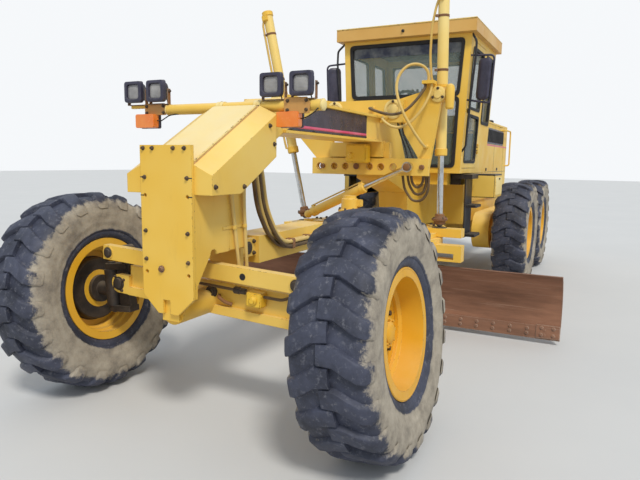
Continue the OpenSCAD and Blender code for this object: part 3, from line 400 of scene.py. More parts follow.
# The free hoses run through the points of the CAD's own
HOSE_R = 0.013
ROUTE_STEPS = 4
HOSE_ROUTES = {
    "hose_inner": [
        (-2.300, 0.100, 2.090), (-2.262, 0.100, 2.090), (-2.228, 0.112, 2.084), (-2.208, 0.148, 2.070),
        (-2.205, 0.200, 2.052), (-2.208, 0.255, 2.036), (-2.218, 0.312, 2.026), (-2.235, 0.365, 2.028),
        (-2.252, 0.420, 2.046), (-2.272, 0.470, 2.082), (-2.295, 0.512, 2.130), (-2.320, 0.545, 2.178),
        (-2.345, 0.570, 2.225), (-2.365, 0.590, 2.268), (-2.365, 0.590, 2.300)],
    "hose_outer": [
        (-2.300, 0.230, 2.000), (-2.262, 0.230, 2.000), (-2.226, 0.238, 1.990), (-2.205, 0.262, 1.966),
        (-2.200, 0.300, 1.938), (-2.205, 0.345, 1.915), (-2.216, 0.395, 1.908), (-2.230, 0.445, 1.920),
        (-2.246, 0.492, 1.950), (-2.262, 0.535, 1.992), (-2.278, 0.572, 2.040), (-2.297, 0.602, 2.090),
        (-2.320, 0.624, 2.145), (-2.342, 0.641, 2.200), (-2.365, 0.650, 2.262), (-2.365, 0.650, 2.300)],
    "hose_loop": [
        (-2.365, 0.620, 2.330), (-2.365, 0.620, 2.370), (-2.358, 0.606, 2.418), (-2.344, 0.572, 2.455),
        (-2.322, 0.520, 2.473), (-2.295, 0.464, 2.464), (-2.265, 0.418, 2.428), (-2.238, 0.388, 2.374),
        (-2.215, 0.375, 2.312), (-2.198, 0.378, 2.246), (-2.186, 0.394, 2.180), (-2.178, 0.418, 2.115),
        (-2.176, 0.448, 2.050), (-2.180, 0.480, 1.988), (-2.192, 0.514, 1.928), (-2.212, 0.546, 1.870),
        (-2.240, 0.575, 1.818), (-2.275, 0.598, 1.776), (-2.315, 0.609, 1.750), (-2.348, 0.610, 1.740),
        (-2.380, 0.610, 1.740)]}


def smooth_route(points):
    """A route through its points on one smooth curve."""
    route = [Vector(p) for p in points]
    ends = [2 * route[0] - route[1], *route, 2 * route[-1] - route[-2]]
    made = []
    for i in range(len(route) - 1):
        a, b, c, d = ends[i:i + 4]
        for step in range(ROUTE_STEPS):
            t = step / ROUTE_STEPS
            made.append(0.5 * (2 * b + (c - a) * t + (2 * a - 5 * b + 4 * c - d) * t ** 2
                               + (3 * b - a - 3 * c + d) * t ** 3))
    return made + [route[-1]]


def make_cords():
    """The three free hoses of the left lift cylinder, each a curve of one open spline."""
    for node, finish in (("hose_inner", HOSE), ("hose_outer", PAINTED_HOSE), ("hose_loop", PAINTED_HOSE)):
        route = [p + Vector((AXLE_X, 0, 0)) for p in smooth_route(HOSE_ROUTES[node])]
        curve = bpy.data.curves.new("free_" + node, "CURVE")
        curve.dimensions = "3D"
        curve.bevel_depth = HOSE_R
        curve.bevel_resolution = 4
        curve.use_fill_caps = True
        spline = curve.splines.new("POLY")
        spline.points.add(len(route) - 1)
        for point, place in zip(spline.points, route):
            point.co = (*place, 1.0)
        spline.use_smooth = True
        curve.materials.append(finish)
        made = bpy.data.objects.new("free_" + node, curve)
        bpy.context.scene.collection.objects.link(made)
        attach(made, "front")
        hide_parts(node)


make_camera()
make_cords()

# Floor and light

FLOOR_HALF = 60


def make_floor():
    """A pale plane for the picture only."""
    mesh = bpy.data.meshes.new("floor")
    corners = [(x * FLOOR_HALF, y * FLOOR_HALF, 0) for x, y in ((-1, -1), (1, -1), (1, 1), (-1, 1))]
    mesh.from_pydata(corners, [], [(0, 1, 2, 3)])
    made = bpy.data.objects.new("floor", mesh)
    bpy.context.scene.collection.objects.link(made)
    f = Finish("pale_floor", roughness=0.9)
    f.colour(f.blend(f.noise(0.7, 5), srgb(196, 197, 198), srgb(206, 206, 206)))
    mesh.materials.append(f.material)


def make_light():
    """A hazy sun and an even sky, which the camera sees paler than the light it gives."""
    world = bpy.data.worlds.new("soft_sky")
    bpy.context.scene.world = world
    world.use_nodes = True
    tree = world.node_tree
    tree.nodes.clear()
    output = tree.nodes.new("ShaderNodeOutputWorld")
    light = tree.nodes.new("ShaderNodeBackground")
    light.inputs["Color"].default_value = (0.86, 0.93, 1.0, 1)
    light.inputs["Strength"].default_value = 0.72
    seen = tree.nodes.new("ShaderNodeBackground")
    seen.inputs["Color"].default_value = (0.92, 0.94, 0.96, 1)
    seen.inputs["Strength"].default_value = 1.0
    path = tree.nodes.new("ShaderNodeLightPath")
    either = tree.nodes.new("ShaderNodeMath")
    either.operation = "MAXIMUM"
    tree.links.new(path.outputs["Is Camera Ray"], either.inputs[0])
    tree.links.new(path.outputs["Is Transmission Ray"], either.inputs[1])
    mixed = tree.nodes.new("ShaderNodeMixShader")
    tree.links.new(either.outputs[0], mixed.inputs["Fac"])
    tree.links.new(light.outputs["Background"], mixed.inputs[1])
    tree.links.new(seen.outputs["Background"], mixed.inputs[2])
    tree.links.new(mixed.outputs["Shader"], output.inputs["Surface"])
    sun = bpy.data.lights.new("hazy_sun", "SUN")
    sun.energy = 2.1
    sun.angle = math.radians(12)
    sun.color = (1.0, 0.96, 0.88)
    made = bpy.data.objects.new("hazy_sun", sun)
    made.rotation_euler = Vector((-0.47, -0.42, -0.78)).to_track_quat("-Z", "Y").to_euler()
    bpy.context.scene.collection.objects.link(made)


make_floor()
make_light()
bpy.context.scene.view_settings.view_transform = "Standard"

# Mesh code shared by the pieces


def softened(points, radius, steps=4, closed=True):
    """The outline or path with each corner rounded off, starting this far from the corner."""
    points = [Vector(p) for p in points]
    made = []
    for i, corner in enumerate(points):
        if not closed and i in (0, len(points) - 1):
            made.append(corner)
            continue
        before = points[i - 1] - corner
        after = points[(i + 1) % len(points)] - corner
        reach = min(radius, before.length / 2.01, after.length / 2.01)
        start = corner + before.normalized() * reach
        end = corner + after.normalized() * reach
        for step in range(steps + 1):
            t = step / steps
            made.append(start * (1 - t) ** 2 + corner * 2 * t * (1 - t) + end * t ** 2)
    return made


def oblong(low, high):
    """The four corners of a flat rectangle between two corners."""
    return [(low[0], low[1]), (high[0], low[1]), (high[0], high[1]), (low[0], high[1])]


def grown(outline, by):
    """A four-cornered outline with each corner moved out from the middle this far each way."""
    middle = [sum(p[i] for p in outline) / len(outline) for i in (0, 1)]
    return [tuple(p[i] + (by if p[i] > middle[i] else -by) for i in (0, 1)) for p in outline]


def circle_steps(count, start=0.0):
    """Cosine and sine of evenly spaced turns."""
    turns = [start + 2 * math.pi * i / count for i in range(count)]
    return [(math.cos(t), math.sin(t)) for t in turns]


def arrows_round(way, count):
    """Evenly spaced unit arrows that stand square to a direction."""
    side = way.orthogonal().normalized()
    other = way.cross(side)
    return [side * c + other * s for c, s in circle_steps(count)]


# For an outline that is swept along an axis: a point from its two outline values and its place on the axis
AXIS_ORDER = {"x": lambda u, v, w: (w, u, v), "y": lambda u, v, w: (u, w, v), "z": lambda u, v, w: (u, v, w)}


class Form:
    """Mesh code for one piece, in metres from the front axle; place puts what is added in a turned space."""

    def __init__(self, place=None):
        self.mesh = bmesh.new()
        self.place = place or Matrix()

    def skin(self, rings, closed=False, edge=0.0):
        """A closed form through rings of points of equal length, capped at its ends or closed on itself."""
        made = [[self.mesh.verts.new(self.place @ Vector(p)) for p in ring] for ring in rings]
        faces = []
        pairs = list(zip(made, made[1:]))
        if closed:
            pairs.append((made[-1], made[0]))
        else:
            faces += [self.mesh.faces.new(end) for end in (made[0], made[-1]) if len(end) > 2]
        for near, far in pairs:
            for i in range(max(len(near), len(far))):
                j = i + 1
                corners = [near[i % len(near)], near[j % len(near)], far[j % len(far)], far[i % len(far)]]
                faces.append(self.mesh.faces.new(list(dict.fromkeys(corners))))
        bmesh.ops.recalc_face_normals(self.mesh, faces=faces)
        if edge:
            rims = list(dict.fromkeys(e for face in faces for e in face.edges))
            bmesh.ops.bevel(self.mesh, geom=rims, offset=edge, segments=2, affect="EDGES", clamp_overlap=True)

    def levels(self, outline, axis, low, high):
        """The outline as rings of points at two levels along an axis."""
        return [[AXIS_ORDER[axis](p[0], p[1], level) for p in outline] for level in (low, high)]

    def plate(self, outline, axis, low, high, edge=0.003):
        """An outline made solid from low to high along an axis."""
        self.skin(self.levels(outline, axis, low, high), edge=edge)

    def block(self, low, high, edge=0.003):
        self.plate(oblong(low[:2], high[:2]), "z", low[2], high[2], edge)

    def side_plate(self, side, outline, near, far, edge=0.003):
        """An outline along the machine, made solid between two distances out from its middle plane."""
        low, high = sorted((side * near, side * far))
        self.plate(outline, "y", low, high, edge)

    def side_block(self, side, along, out, up, edge=0.003):
        """A block on one side, from its ranges along the machine, outwards and in height."""
        low, high = sorted((side * out[0], side * out[1]))
        self.block((along[0], low, up[0]), (along[1], high, up[1]), edge)

    def surround(self, outer, inner, axis, low, high):
        """A flat frame between two outlines of as many points, from low to high along an axis."""
        out_low, out_high = self.levels(outer, axis, low, high)
        in_low, in_high = self.levels(inner, axis, low, high)
        self.skin([out_low, out_high, in_high, in_low], closed=True)

    def turned(self, start, way, profile, around=32, closed=False):
        """A form turned about the line from start along way; the profile is (distance along, radius)."""
        way = Vector(way).normalized()
        arrows = arrows_round(way, around)
        rings = []
        for along, radius in profile:
            middle = Vector(start) + way * along
            rings.append([middle + out * radius for out in arrows] if radius else [middle])
        self.skin(rings, closed)

    def hoop(self, middle, way, radius, thick, around=48, sides=10):
        """A round ring about an axis."""
        way = Vector(way).normalized()
        self.skin([[Vector(middle) + out * (radius + thick * c) + way * thick * s
                    for c, s in circle_steps(sides)] for out in arrows_round(way, around)], closed=True)

    def done(self, name, body, finish, crease=35, replaces=()):
        bmesh.ops.translate(self.mesh, verts=self.mesh.verts, vec=(AXLE_X, 0, 0))
        mesh = bpy.data.meshes.new(name)
        self.mesh.to_mesh(mesh)
        self.mesh.free()
        made = piece(name, mesh, body, finish, crease)
        if replaces:
            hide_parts(*replaces)
        return made


# Geometry Nodes for what repeats or follows a path

WASHER_DEPTH = 0.005
WASHER_SHARE = 1.45


class Tree:
    """A Geometry Nodes tree under construction, with a named input for each of its sizes."""

    def __init__(self, name, **sizes):
        self.tree = bpy.data.node_groups.new(name, "GeometryNodeTree")
        inputs = {"Geometry": "NodeSocketGeometry", **sizes, "Finish": "NodeSocketMaterial"}
        for size, kind in inputs.items():
            self.tree.interface.new_socket(size, in_out="INPUT", socket_type=kind)
        self.tree.interface.new_socket("Geometry", in_out="OUTPUT", socket_type="NodeSocketGeometry")
        self.given = self.tree.nodes.new("NodeGroupInput").outputs

    def add(self, kind, links=None, **values):
        made = self.tree.nodes.new(kind)
        for name, value in values.items():
            setattr(made, name, value)
        for socket, source in (links or {}).items():
            for one in source if isinstance(source, list) else [source]:
                if isinstance(one, bpy.types.NodeSocket):
                    self.tree.links.new(one, made.inputs[socket])
                else:
                    made.inputs[socket].default_value = one
        return made.outputs[0]

    def close(self, instances):
        real = self.add("GeometryNodeRealizeInstances", {"Geometry": instances})
        coated = self.add("GeometryNodeSetMaterial", {"Geometry": real, "Material": self.given["Finish"]})
        self.tree.links.new(coated, self.tree.nodes.new("NodeGroupOutput").inputs[0])
        return self.tree


def make_copies_tree():
    """Copies of a form, each turned and moved one step on from the last."""
    t = Tree("copies", Count="NodeSocketInt", Turn="NodeSocketVector", Step="NodeSocketVector")
    number = t.add("GeometryNodeInputIndex")
    shift = t.add("ShaderNodeVectorMath", {0: t.given["Step"], "Scale": number}, operation="SCALE")
    turn = t.add("ShaderNodeVectorMath", {0: t.given["Turn"], "Scale": number}, operation="SCALE")
    points = t.add("GeometryNodePoints", {"Count": t.given["Count"]})
    points = t.add("GeometryNodeSetPosition", {"Geometry": points, "Position": shift})
    turned = t.add("FunctionNodeEulerToRotation", {0: turn})
    return t.close(t.add("GeometryNodeInstanceOnPoints", {
        "Points": points, "Instance": t.given["Geometry"], "Rotation": turned}))


def make_bolt_tree():
    """A hexagon bolt on its washer at each point, looking along the point's facing."""
    t = Tree("bolts", Head="NodeSocketFloat", Height="NodeSocketFloat", Washer="NodeSocketFloat")
    head = t.add("GeometryNodeMeshCylinder", {
        "Vertices": 6, "Radius": t.given["Head"], "Depth": t.given["Height"]})
    half = t.add("ShaderNodeMath", {0: t.given["Height"], 1: 0.5}, operation="MULTIPLY")
    lift = t.add("ShaderNodeCombineXYZ", {"Z": half})
    head = t.add("GeometryNodeTransform", {"Geometry": head, "Translation": lift})
    washer = t.add("GeometryNodeMeshCylinder", {
        "Vertices": 20, "Radius": t.given["Washer"], "Depth": WASHER_DEPTH})
    bolt = t.add("GeometryNodeJoinGeometry", {"Geometry": [head, washer]})
    facing = t.add("GeometryNodeInputNamedAttribute", {"Name": "facing"}, data_type="FLOAT_VECTOR")
    turned = t.add("FunctionNodeAlignRotationToVector", {"Vector": facing}, axis="Z")
    points = t.add("GeometryNodeMeshToPoints", {"Mesh": t.given["Geometry"]})
    return t.close(t.add("GeometryNodeInstanceOnPoints", {
        "Points": points, "Instance": bolt, "Rotation": turned}))


def make_tube_tree():
    """A round tube along each line of edges, closed at both ends."""
    t = Tree("tubes", Radius="NodeSocketFloat", Sides="NodeSocketInt")
    line = t.add("GeometryNodeMeshToCurve", {"Mesh": t.given["Geometry"]})
    ring = t.add("GeometryNodeCurvePrimitiveCircle", {
        "Resolution": t.given["Sides"], "Radius": t.given["Radius"]}, mode="RADIUS")
    return t.close(t.add("GeometryNodeCurveToMesh", {
        "Curve": line, "Profile Curve": ring, "Fill Caps": True}))


COPIES = make_copies_tree()
BOLTS = make_bolt_tree()
TUBES = make_tube_tree()


def after_tree(mesh, tree, finish, merge=0.0, **sizes):
    """What a tree makes of a mesh, as a plain mesh with its faces outwards."""
    carrier = bpy.data.objects.new("carrier", mesh)
    bpy.context.scene.collection.objects.link(carrier)
    modifier = carrier.modifiers.new("made", "NODES")
    modifier.node_group = tree
    for socket in tree.interface.items_tree:
        if socket.in_out == "INPUT" and socket.name in sizes:
            modifier[socket.identifier] = sizes[socket.name]
        if socket.name == "Finish":
            modifier[socket.identifier] = finish
    evaluated = carrier.evaluated_get(bpy.context.evaluated_depsgraph_get())
    result = bpy.data.meshes.new_from_object(evaluated)
    carrier.modifiers.remove(modifier)
    bpy.data.objects.remove(carrier)
    work = bmesh.new()
    work.from_mesh(result)
    if merge:
        bmesh.ops.remove_doubles(work, verts=work.verts, dist=merge)
    bmesh.ops.recalc_face_normals(work, faces=work.faces)
    work.to_mesh(result)
    work.free()
    return result


def bolts(name, places, body, finish=OLD_BOLT, head=0.011, height=0.008):
    """Hexagon bolts; each place is a point and the way the head looks."""
    mesh = bpy.data.meshes.new(name)
    mesh.from_pydata([Vector(point) + Vector((AXLE_X, 0, 0)) for point, _ in places], [], [])
    facing = mesh.attributes.new("facing", "FLOAT_VECTOR", "POINT")
    for item, (_, way) in zip(facing.data, places):
        item.vector = way
    sizes = {"Head": head, "Height": height + WASHER_DEPTH, "Washer": head * WASHER_SHARE}
    return piece(name, after_tree(mesh, BOLTS, finish, **sizes), body, finish, 30)


def tubes(name, paths, radius, body, finish, bend=0.03, sides=12, place=None):
    """Pipes and rails of one radius, each along its path with rounded bends."""
    points = []
    links = []
    for path in paths:
        route = softened(path, bend, 6, closed=False)
        links += [(len(points) + i, len(points) + i + 1) for i in range(len(route) - 1)]
        points += route
    mesh = bpy.data.meshes.new(name)
    shift = Matrix.Translation((AXLE_X, 0, 0)) @ (place or Matrix())
    mesh.from_pydata([shift @ p for p in points], links, [])
    made = after_tree(mesh, TUBES, finish, Radius=radius, Sides=sides)
    return piece(name, made, body, finish, 50)


def repeated(name, form, count, body, finish, turn=(0, 0, 0), step=(0, 0, 0), place=None,
             merge=0.0, crease=35):
    """Copies of a form, each one turn and step on from the last, about the origin of its place."""
    mesh = bpy.data.meshes.new(name)
    form.mesh.to_mesh(mesh)
    form.mesh.free()
    made = after_tree(mesh, COPIES, finish, merge, Count=count, Turn=turn, Step=step)
    made.transform(Matrix.Translation((AXLE_X, 0, 0)) @ (place or Matrix()))
    return piece(name, made, body, finish, crease)


def seen_from(place, point, way):
    """A bolt's place and facing in a turned space, given in the machine's."""
    return place @ Vector(point), place.to_3x3() @ Vector(way)


# Tyres and wheels

TYRE_R = 0.674
LUGS = 20
SLICE = 2 * math.pi / LUGS
SLICE_STEPS = 6

# Each ring of the carcass: radius, distance from the tyre's middle, dust
CARCASS = [
    (0.3525, 0.156, 0.20), (0.356, 0.170, 0.04), (0.366, 0.178, 0.02), (0.380, 0.186, 0.04),
    (0.394, 0.1885, 0.08), (0.400, 0.1875, 0.16), (0.405, 0.194, 0.30), (0.416, 0.1985, 0.58),
    (0.422, 0.1970, 0.74), (0.450, 0.2065, 0.82), (0.478, 0.2120, 0.82), (0.484, 0.2105, 0.86),
    (0.504, 0.2160, 0.84), (0.535, 0.2175, 0.84), (0.560, 0.2140, 0.80), (0.585, 0.2090, 0.72),
    (0.602, 0.2040, 0.60), (0.622, 0.1880, 0.40), (0.634, 0.165, 0.28), (0.641, 0.120, 0.20),
    (0.643, 0.060, 0.16), (0.643, 0.0, 0.14)]

# Each lug section from the middle of the tread outwards:
# distance from the middle, top radius, foot radius, leading edge, trailing edge, dust on top
LUG = [
    (-0.026, 0.6705, 0.636, 0.056, -0.036, 0.04), (0.052, 0.6735, 0.636, 0.052, -0.042, 0.02),
    (0.104, 0.6725, 0.632, 0.020, -0.074, 0.04), (0.160, 0.6650, 0.620, -0.014, -0.108, 0.12),
    (0.196, 0.6480, 0.600, -0.028, -0.118, 0.26), (0.2165, 0.6150, 0.575, -0.034, -0.112, 0.48),
    (0.2215, 0.5750, 0.560, -0.042, -0.096, 0.70)]
LUG_ROUND = 0.009


def lug_section(top, foot, lead, trail, amount):
    """The corners of a lug's section with its dust: radius, distance along the tread, dust."""
    drop = min(LUG_ROUND, (top - foot) / 2)
    return [(foot, lead + 0.012, 0.30 + amount), (top - drop, lead + 0.004, 0.14 + amount),
            (top - drop / 4, lead - 0.001, 0.04 + amount), (top, lead - 0.010, amount),
            (top, trail + 0.010, amount), (top - drop / 4, trail + 0.001, 0.04 + amount),
            (top - drop, trail - 0.004, 0.14 + amount), (foot, trail - 0.012, 0.30 + amount)]


def tyre_slice():
    """A twentieth of a tyre about the Y axis: a strip of carcass, and one lug a side, half a step apart."""
    form = Form()
    mesh = form.mesh
    dust = mesh.verts.layers.float.new("dust")

    def point(radius, across, turn, amount):
        made = mesh.verts.new((radius * math.cos(turn), across, radius * math.sin(turn)))
        made[dust] = min(amount, 1.0)
        return made

    profile = [(r, -y, d) for r, y, d in CARCASS] + [(r, y, d) for r, y, d in reversed(CARCASS[:-1])]
    profile.append(profile[0])
    rings = [[point(r, y, SLICE * i / SLICE_STEPS, d) for i in range(SLICE_STEPS + 1)] for r, y, d in profile]
    for inner, outer in zip(rings, rings[1:]):
        for i in range(SLICE_STEPS):
            mesh.faces.new((inner[i], outer[i], outer[i + 1], inner[i + 1]))
    for side in (-1, 1):
        start = side * SLICE / 4
        sections = [[point(r, side * across, start + along / TYRE_R, d) for r, along, d in lug_section(*rest)]
                    for across, *rest in LUG]
        for inner, outer in zip(sections, sections[1:]):
            for i in range(len(inner)):
                j = (i + 1) % len(inner)
                mesh.faces.new((inner[i], inner[j], outer[j], outer[i]))
        mesh.faces.new(sections[0])
        mesh.faces.new(list(reversed(sections[-1])))
    return form


def wheel_spaces():
    """Name, side and space of each wheel: origin at its middle, Y along the axle."""
    for joint in JOINTS.values():
        if joint["name"].endswith("_spin"):
            side = 1 if "left" in joint["name"] else -1
            row = joint["name"].split("_")[0]
            axle = Vector(joint["axis"]) * (1 if joint["axis"][1] > 0 else -1)
            lean = Matrix.Rotation(math.atan2(axle.z, axle.y), 4, "X")
            place = Matrix.Translation(joint_place(joint["name"])) @ lean
            yield row + ("_left" if side > 0 else "_right"), side, place


def around_axle(place, count, radius, out, start=0.0):
    """Bolt places on a circle about the Y axis of a place, looking outwards along it."""
    return [seen_from(place, (radius * c, out, radius * s), (0, 1, 0)) for c, s in circle_steps(count, start)]


# Outlines of turned pieces about the wheel's axle: distance out from its middle, radius
HUB_CAP = [(0.068, 0.060), (0.080, 0.060), (0.088, 0.052), (0.094, 0.036), (0.097, 0.0)]
HUB_RING = [(0.007, 0.084), (0.007, 0.112), (0.014, 0.112), (0.022, 0.098), (0.022, 0.084)]
BRAKE_DRUM = [
    (-0.081, 0.150), (-0.078, 0.205), (-0.070, 0.214), (-0.024, 0.218), (-0.018, 0.226), (-0.010, 0.226),
    (-0.010, 0.150)]
VALVE = [(0.0, 0.006), (0.050, 0.006), (0.052, 0.0085), (0.062, 0.0085), (0.064, 0.004)]


def make_wheels():
    """Tyre, hub cap, bolts and valve of the six wheels, and the front pair's brake drums."""
    axle = (0, 1, 0)
    for name, side, place in wheel_spaces():
        body = "wheel_" + name
        tyre = repeated("dusty_tyre_" + name, tyre_slice(), LUGS, body, TYRE,
                        turn=(0, SLICE, 0), place=place, merge=0.0002, crease=38)
        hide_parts("tyre_" + name)
        outer = place @ Matrix.Scale(side, 4, (0, 1, 0))
        cap = Form(outer)
        cap.turned((0, 0, 0), axle, HUB_CAP)
        cap.turned((0, 0, 0), axle, HUB_RING, closed=True)
        cap.hoop((0, 0.168, 0), axle, 0.344, 0.006)
        cap.hoop((0, 0.010, 0), axle, 0.274, 0.007)
        cap.done("hub_cap_" + name, body, RIM_YELLOW)
        bolts("hub_bolts_" + name, around_axle(outer, 8, 0.0725, 0.071), body, RIM_YELLOW,
              0.0085)
        bolts("wheel_nuts_" + name, around_axle(outer, 10, 0.165, 0.010, 0.2), body, OLD_BOLT,
              0.0155, 0.018)
        valve = Form(outer)
        valve.turned((0.296, 0.060, 0), (-0.35, 0.9, 0), VALVE, 12)
        valve.done("tyre_valve_" + name, body, RUBBER)
        if name.startswith("front"):
            drum = Form(outer)
            drum.turned((0, 0, 0), axle, BRAKE_DRUM, 48)
            drum.done("wheel_drum_" + name, body, GREASY)


make_wheels()

# Front plate, nose and column

PLATE_FACE = 0.4184
NOSE_OUT = 0.3003
NOSE_SLOPE = math.radians(29.5)
COLUMN_OUT = 0.1795
COLUMN_PIPE_Y = 0.195
AXLE_Z = 0.74
ACROSS = joint_place("wheel_lean") - joint_place("wheel_lean_right")
AXLE_TILT = math.atan2(ACROSS.z, ACROSS.y)
LEAN_PIN_Y = 0.70
ON_AXLE = (Matrix.Translation((0, 0, AXLE_Z)) @ Matrix.Rotation(AXLE_TILT, 4, "X")
           @ Matrix.Translation((0, 0, -AXLE_Z)))


def ahead(x, spots):
    """Bolt places on a plane across the machine, looking forward."""
    return [((x, y, z), FORWARD) for y, z in spots]


def outwards(out, spots):
    """Bolt places on planes along both sides of the machine, looking out from it."""
    return [((x, side * out, z), (0, side, 0)) for _, side in SIDES for x, z in spots]


def make_nose():
    """The nose's centre panel, its seam and the front plate's slots in painted shade, and the plate's bolts
    and plug.
    """
    slope = Matrix.Translation((0.398, 0, 1.565)) @ Matrix.Rotation(NOSE_SLOPE, 4, "Y")
    # The darker strip showing round the centre panel's edge is painted shade of the groove under the panel's
    # lip.
    gap = Form(slope)
    gap.block((-0.736, -0.171, -0.002), (-0.009, 0.178, 0.003), 0.001)
    gap.done("nose_panel_gap", "front", STAINED)
    panel = Form(slope)
    panel.plate(softened(oblong((-0.730, -0.166), (-0.015, 0.172)), 0.02), "z", 0.001, 0.014, 0.004)
    panel.done("nose_centre_panel", "front", CREAM)
    slot_heights = (1.494, 1.393)
    spots = [(y, z) for y in (-0.149, 0.149) for z in (slot_heights[0], 1.195, 1.035)]
    spots += [(y, 1.653) for y in (-0.155, -0.089, 0.058, 0.134)]
    bolts("front_plate_bolts", ahead(PLATE_FACE, spots), "front", OLD_BOLT, 0.0085, 0.008)
    spots = ((0.372, 1.450), (0.105, 1.445), (-0.171, 1.802), (-0.223, 1.694))
    bolts("nose_side_bolts", outwards(NOSE_OUT, spots), "front", OLD_BOLT, 0.010)
    plug = Form()
    plug.turned((PLATE_FACE - 0.0001, -0.04, 0.985), FORWARD, [
        (0.0, 0.020), (0.006, 0.020), (0.008, 0.013), (0.016, 0.013), (0.018, 0.009), (0.018, 0.0)], 20)
    plug.done("front_plate_plug", "front", RUST)
    # Thin black strips on the plate's face, out from the upper bolts, stand for the slots: painted shade.
    slots = Form()
    for _, side in SIDES:
        for z in slot_heights:
            slots.side_block(side, (0.4170, 0.4186), (0.158, 0.182), (z - 0.003, z + 0.003), 0.0)
    slots.done("front_plate_slots", "front", BLACK)


def make_column_pipes():
    """The column's rear skirt under the nose, and the two pipes that run down it."""
    skirt = Form()
    skirt.plate([(0.087, 1.061), (0.087, 1.440), (-0.095, 1.530), (-0.095, 1.061)], "y", -COLUMN_OUT,
                COLUMN_OUT, 0.004)
    skirt.done("column_rear_skirt", "front", YELLOW)
    # each pipe's points along the machine and in height
    routes = (((0.100, 1.470), (0.078, 1.391), (0.012, 0.978), (-0.002, 0.880)),
              ((-0.030, 1.520), (-0.044, 1.386), (-0.074, 0.965), (-0.080, 0.875)))
    tubes("column_pipes", [[(x, COLUMN_PIPE_Y, z) for x, z in route] for route in routes], 0.011, "front",
          PAINTED_HOSE)
    clips = Form()
    clip_z = 1.201
    for x in (0.0476, -0.0572):
        clips.turned((x + 0.002, COLUMN_PIPE_Y, clip_z - 0.012), (0.13, 0, 0.99), [
            (0, 0.010), (0, 0.0145), (0.024, 0.0145), (0.024, 0.010)], 20, closed=True)
    clips.block((-0.060, 0.180, clip_z - 0.011), (0.149, 0.184, clip_z + 0.011), 0.001)
    clips.done("column_pipe_clips", "front", YELLOW)
    ends = Form()
    for route in routes:
        ends.turned((route[-1][0], COLUMN_PIPE_Y, 0.868), UPWARD, [
            (0, 0.012), (0, 0.019), (0.030, 0.019), (0.034, 0.015), (0.034, 0.010)], 6, closed=True)
    ends.done("column_pipe_fittings", "front", OLD_BOLT)


def make_axle_fittings():
    """Pipes, blocks and ports along the front of the axle, under the link bar that leans the wheels."""
    block = Form(ON_AXLE)
    block.block((0.080, 0.335, 0.775), (0.150, 0.437, 0.862), 0.006)
    block.turned((0.150, 0.386, 0.818), FORWARD, [
        (0, 0.026), (0.010, 0.026), (0.014, 0.018), (0.022, 0.016), (0.022, 0)])
    block.done("axle_port_block", "front", BRIGHT)
    pipe_x, pipe_z = 0.120, 0.852
    ports = Form(ON_AXLE)
    ports.turned((0.080, 0.046, 0.804), FORWARD, [
        (0, 0.038), (0.012, 0.038), (0.018, 0.030), (0.034, 0.028), (0.034, 0.020), (0.022, 0.018),
        (0.022, 0)])
    ports.turned((pipe_x, 0.235, pipe_z), (0, 1, 0), [
        (0, 0.012), (0.002, 0.022), (0.040, 0.022), (0.042, 0.018), (0.080, 0.018), (0.082, 0.012)], 6)
    ports.done("axle_hose_ports", "front", GREASY)
    tubes("axle_pipes", [
        [(pipe_x, -0.100, pipe_z), (pipe_x, 0.240, pipe_z)],
        [(pipe_x, 0.310, pipe_z), (pipe_x, 0.340, 0.845)],
        [(0.115, 0.430, 0.840), (0.115, 0.556, 0.840), (0.095, 0.590, 0.855)]],
        0.009, "front", HOSE, place=ON_AXLE)
    tubes("axle_short_hose", [[
        (0.081, 0.100, 0.787), (0.110, 0.112, 0.787), (0.105, 0.160, 0.760), (0.090, 0.200, 0.750)]],
        0.011, "front", RUST, place=ON_AXLE)
    caps = Form(ON_AXLE)
    for _, side in SIDES:
        caps.turned((0.104, side * LEAN_PIN_Y, AXLE_Z), FORWARD, [
            (0, 0.046), (0.004, 0.046), (0.006, 0.036), (0.018, 0.036), (0.022, 0.028), (0.022, 0)])
    caps.done("lean_pivot_caps", "front", GREASY)
    radius = 0.053
    places = [seen_from(ON_AXLE, (0.105, side * LEAN_PIN_Y + radius * c, AXLE_Z + radius * s), FORWARD)
              for _, side in SIDES for c, s in circle_steps(4, 0.6)]
    bolts("lean_pivot_bolts", places, "front", OLD_BOLT, 0.007)


def make_link_bar():
    """Painted shade for the holes, and the pin caps and bosses, of the bar that ties the two leaning yokes
    together.
    """
    wheel_axis = JOINTS["front_wheel_left_spin"]["axis"]
    lean = math.atan2(wheel_axis[2], wheel_axis[1]) - AXLE_TILT
    link_reach = 0.215
    face = 0.1695
    high = AXLE_Z + link_reach * math.cos(lean)
    # Black discs on the bar's face stand for its holes: painted shade.
    holes = Form(ON_AXLE)
    for y in (0.321, -0.379, 0.0):
        holes.turned((face, y, high - 0.003), FORWARD, [(0, 0.020), (0.002, 0.020), (0.002, 0.0)], 24)
    holes.done("link_bar_holes", "lean_link", BLACK)
    for name, side in SIDES:
        pin_y = side * LEAN_PIN_Y - link_reach * math.sin(lean)
        cap = Form(ON_AXLE)
        cap.turned((face + 0.0015, pin_y, high), FORWARD, [
            (0, 0.034), (0.005, 0.034), (0.007, 0.026), (0.014, 0.024), (0.017, 0.016), (0.017, 0)])
        cap.done("link_pin_cap_" + name, "lean_" + name, GREASY)
        bosses = Form(ON_AXLE)
        bosses.turned((face, pin_y, high), FORWARD, [(0, 0.036), (0, 0.045), (0.004, 0.044), (0.004, 0.036)],
                      closed=True)
        bosses.done("link_bar_boss_" + name, "lean_link", YELLOW)


# Lamps on the bar ahead of the nose

# Where each lamp's middle stands across the machine
LAMP_PLACES = (-0.865, -0.663, 0.261, 0.472)
LAMP_Z = 2.055
LAMP_BAR_X = -0.30
LAMP_BAR_Z = 1.93
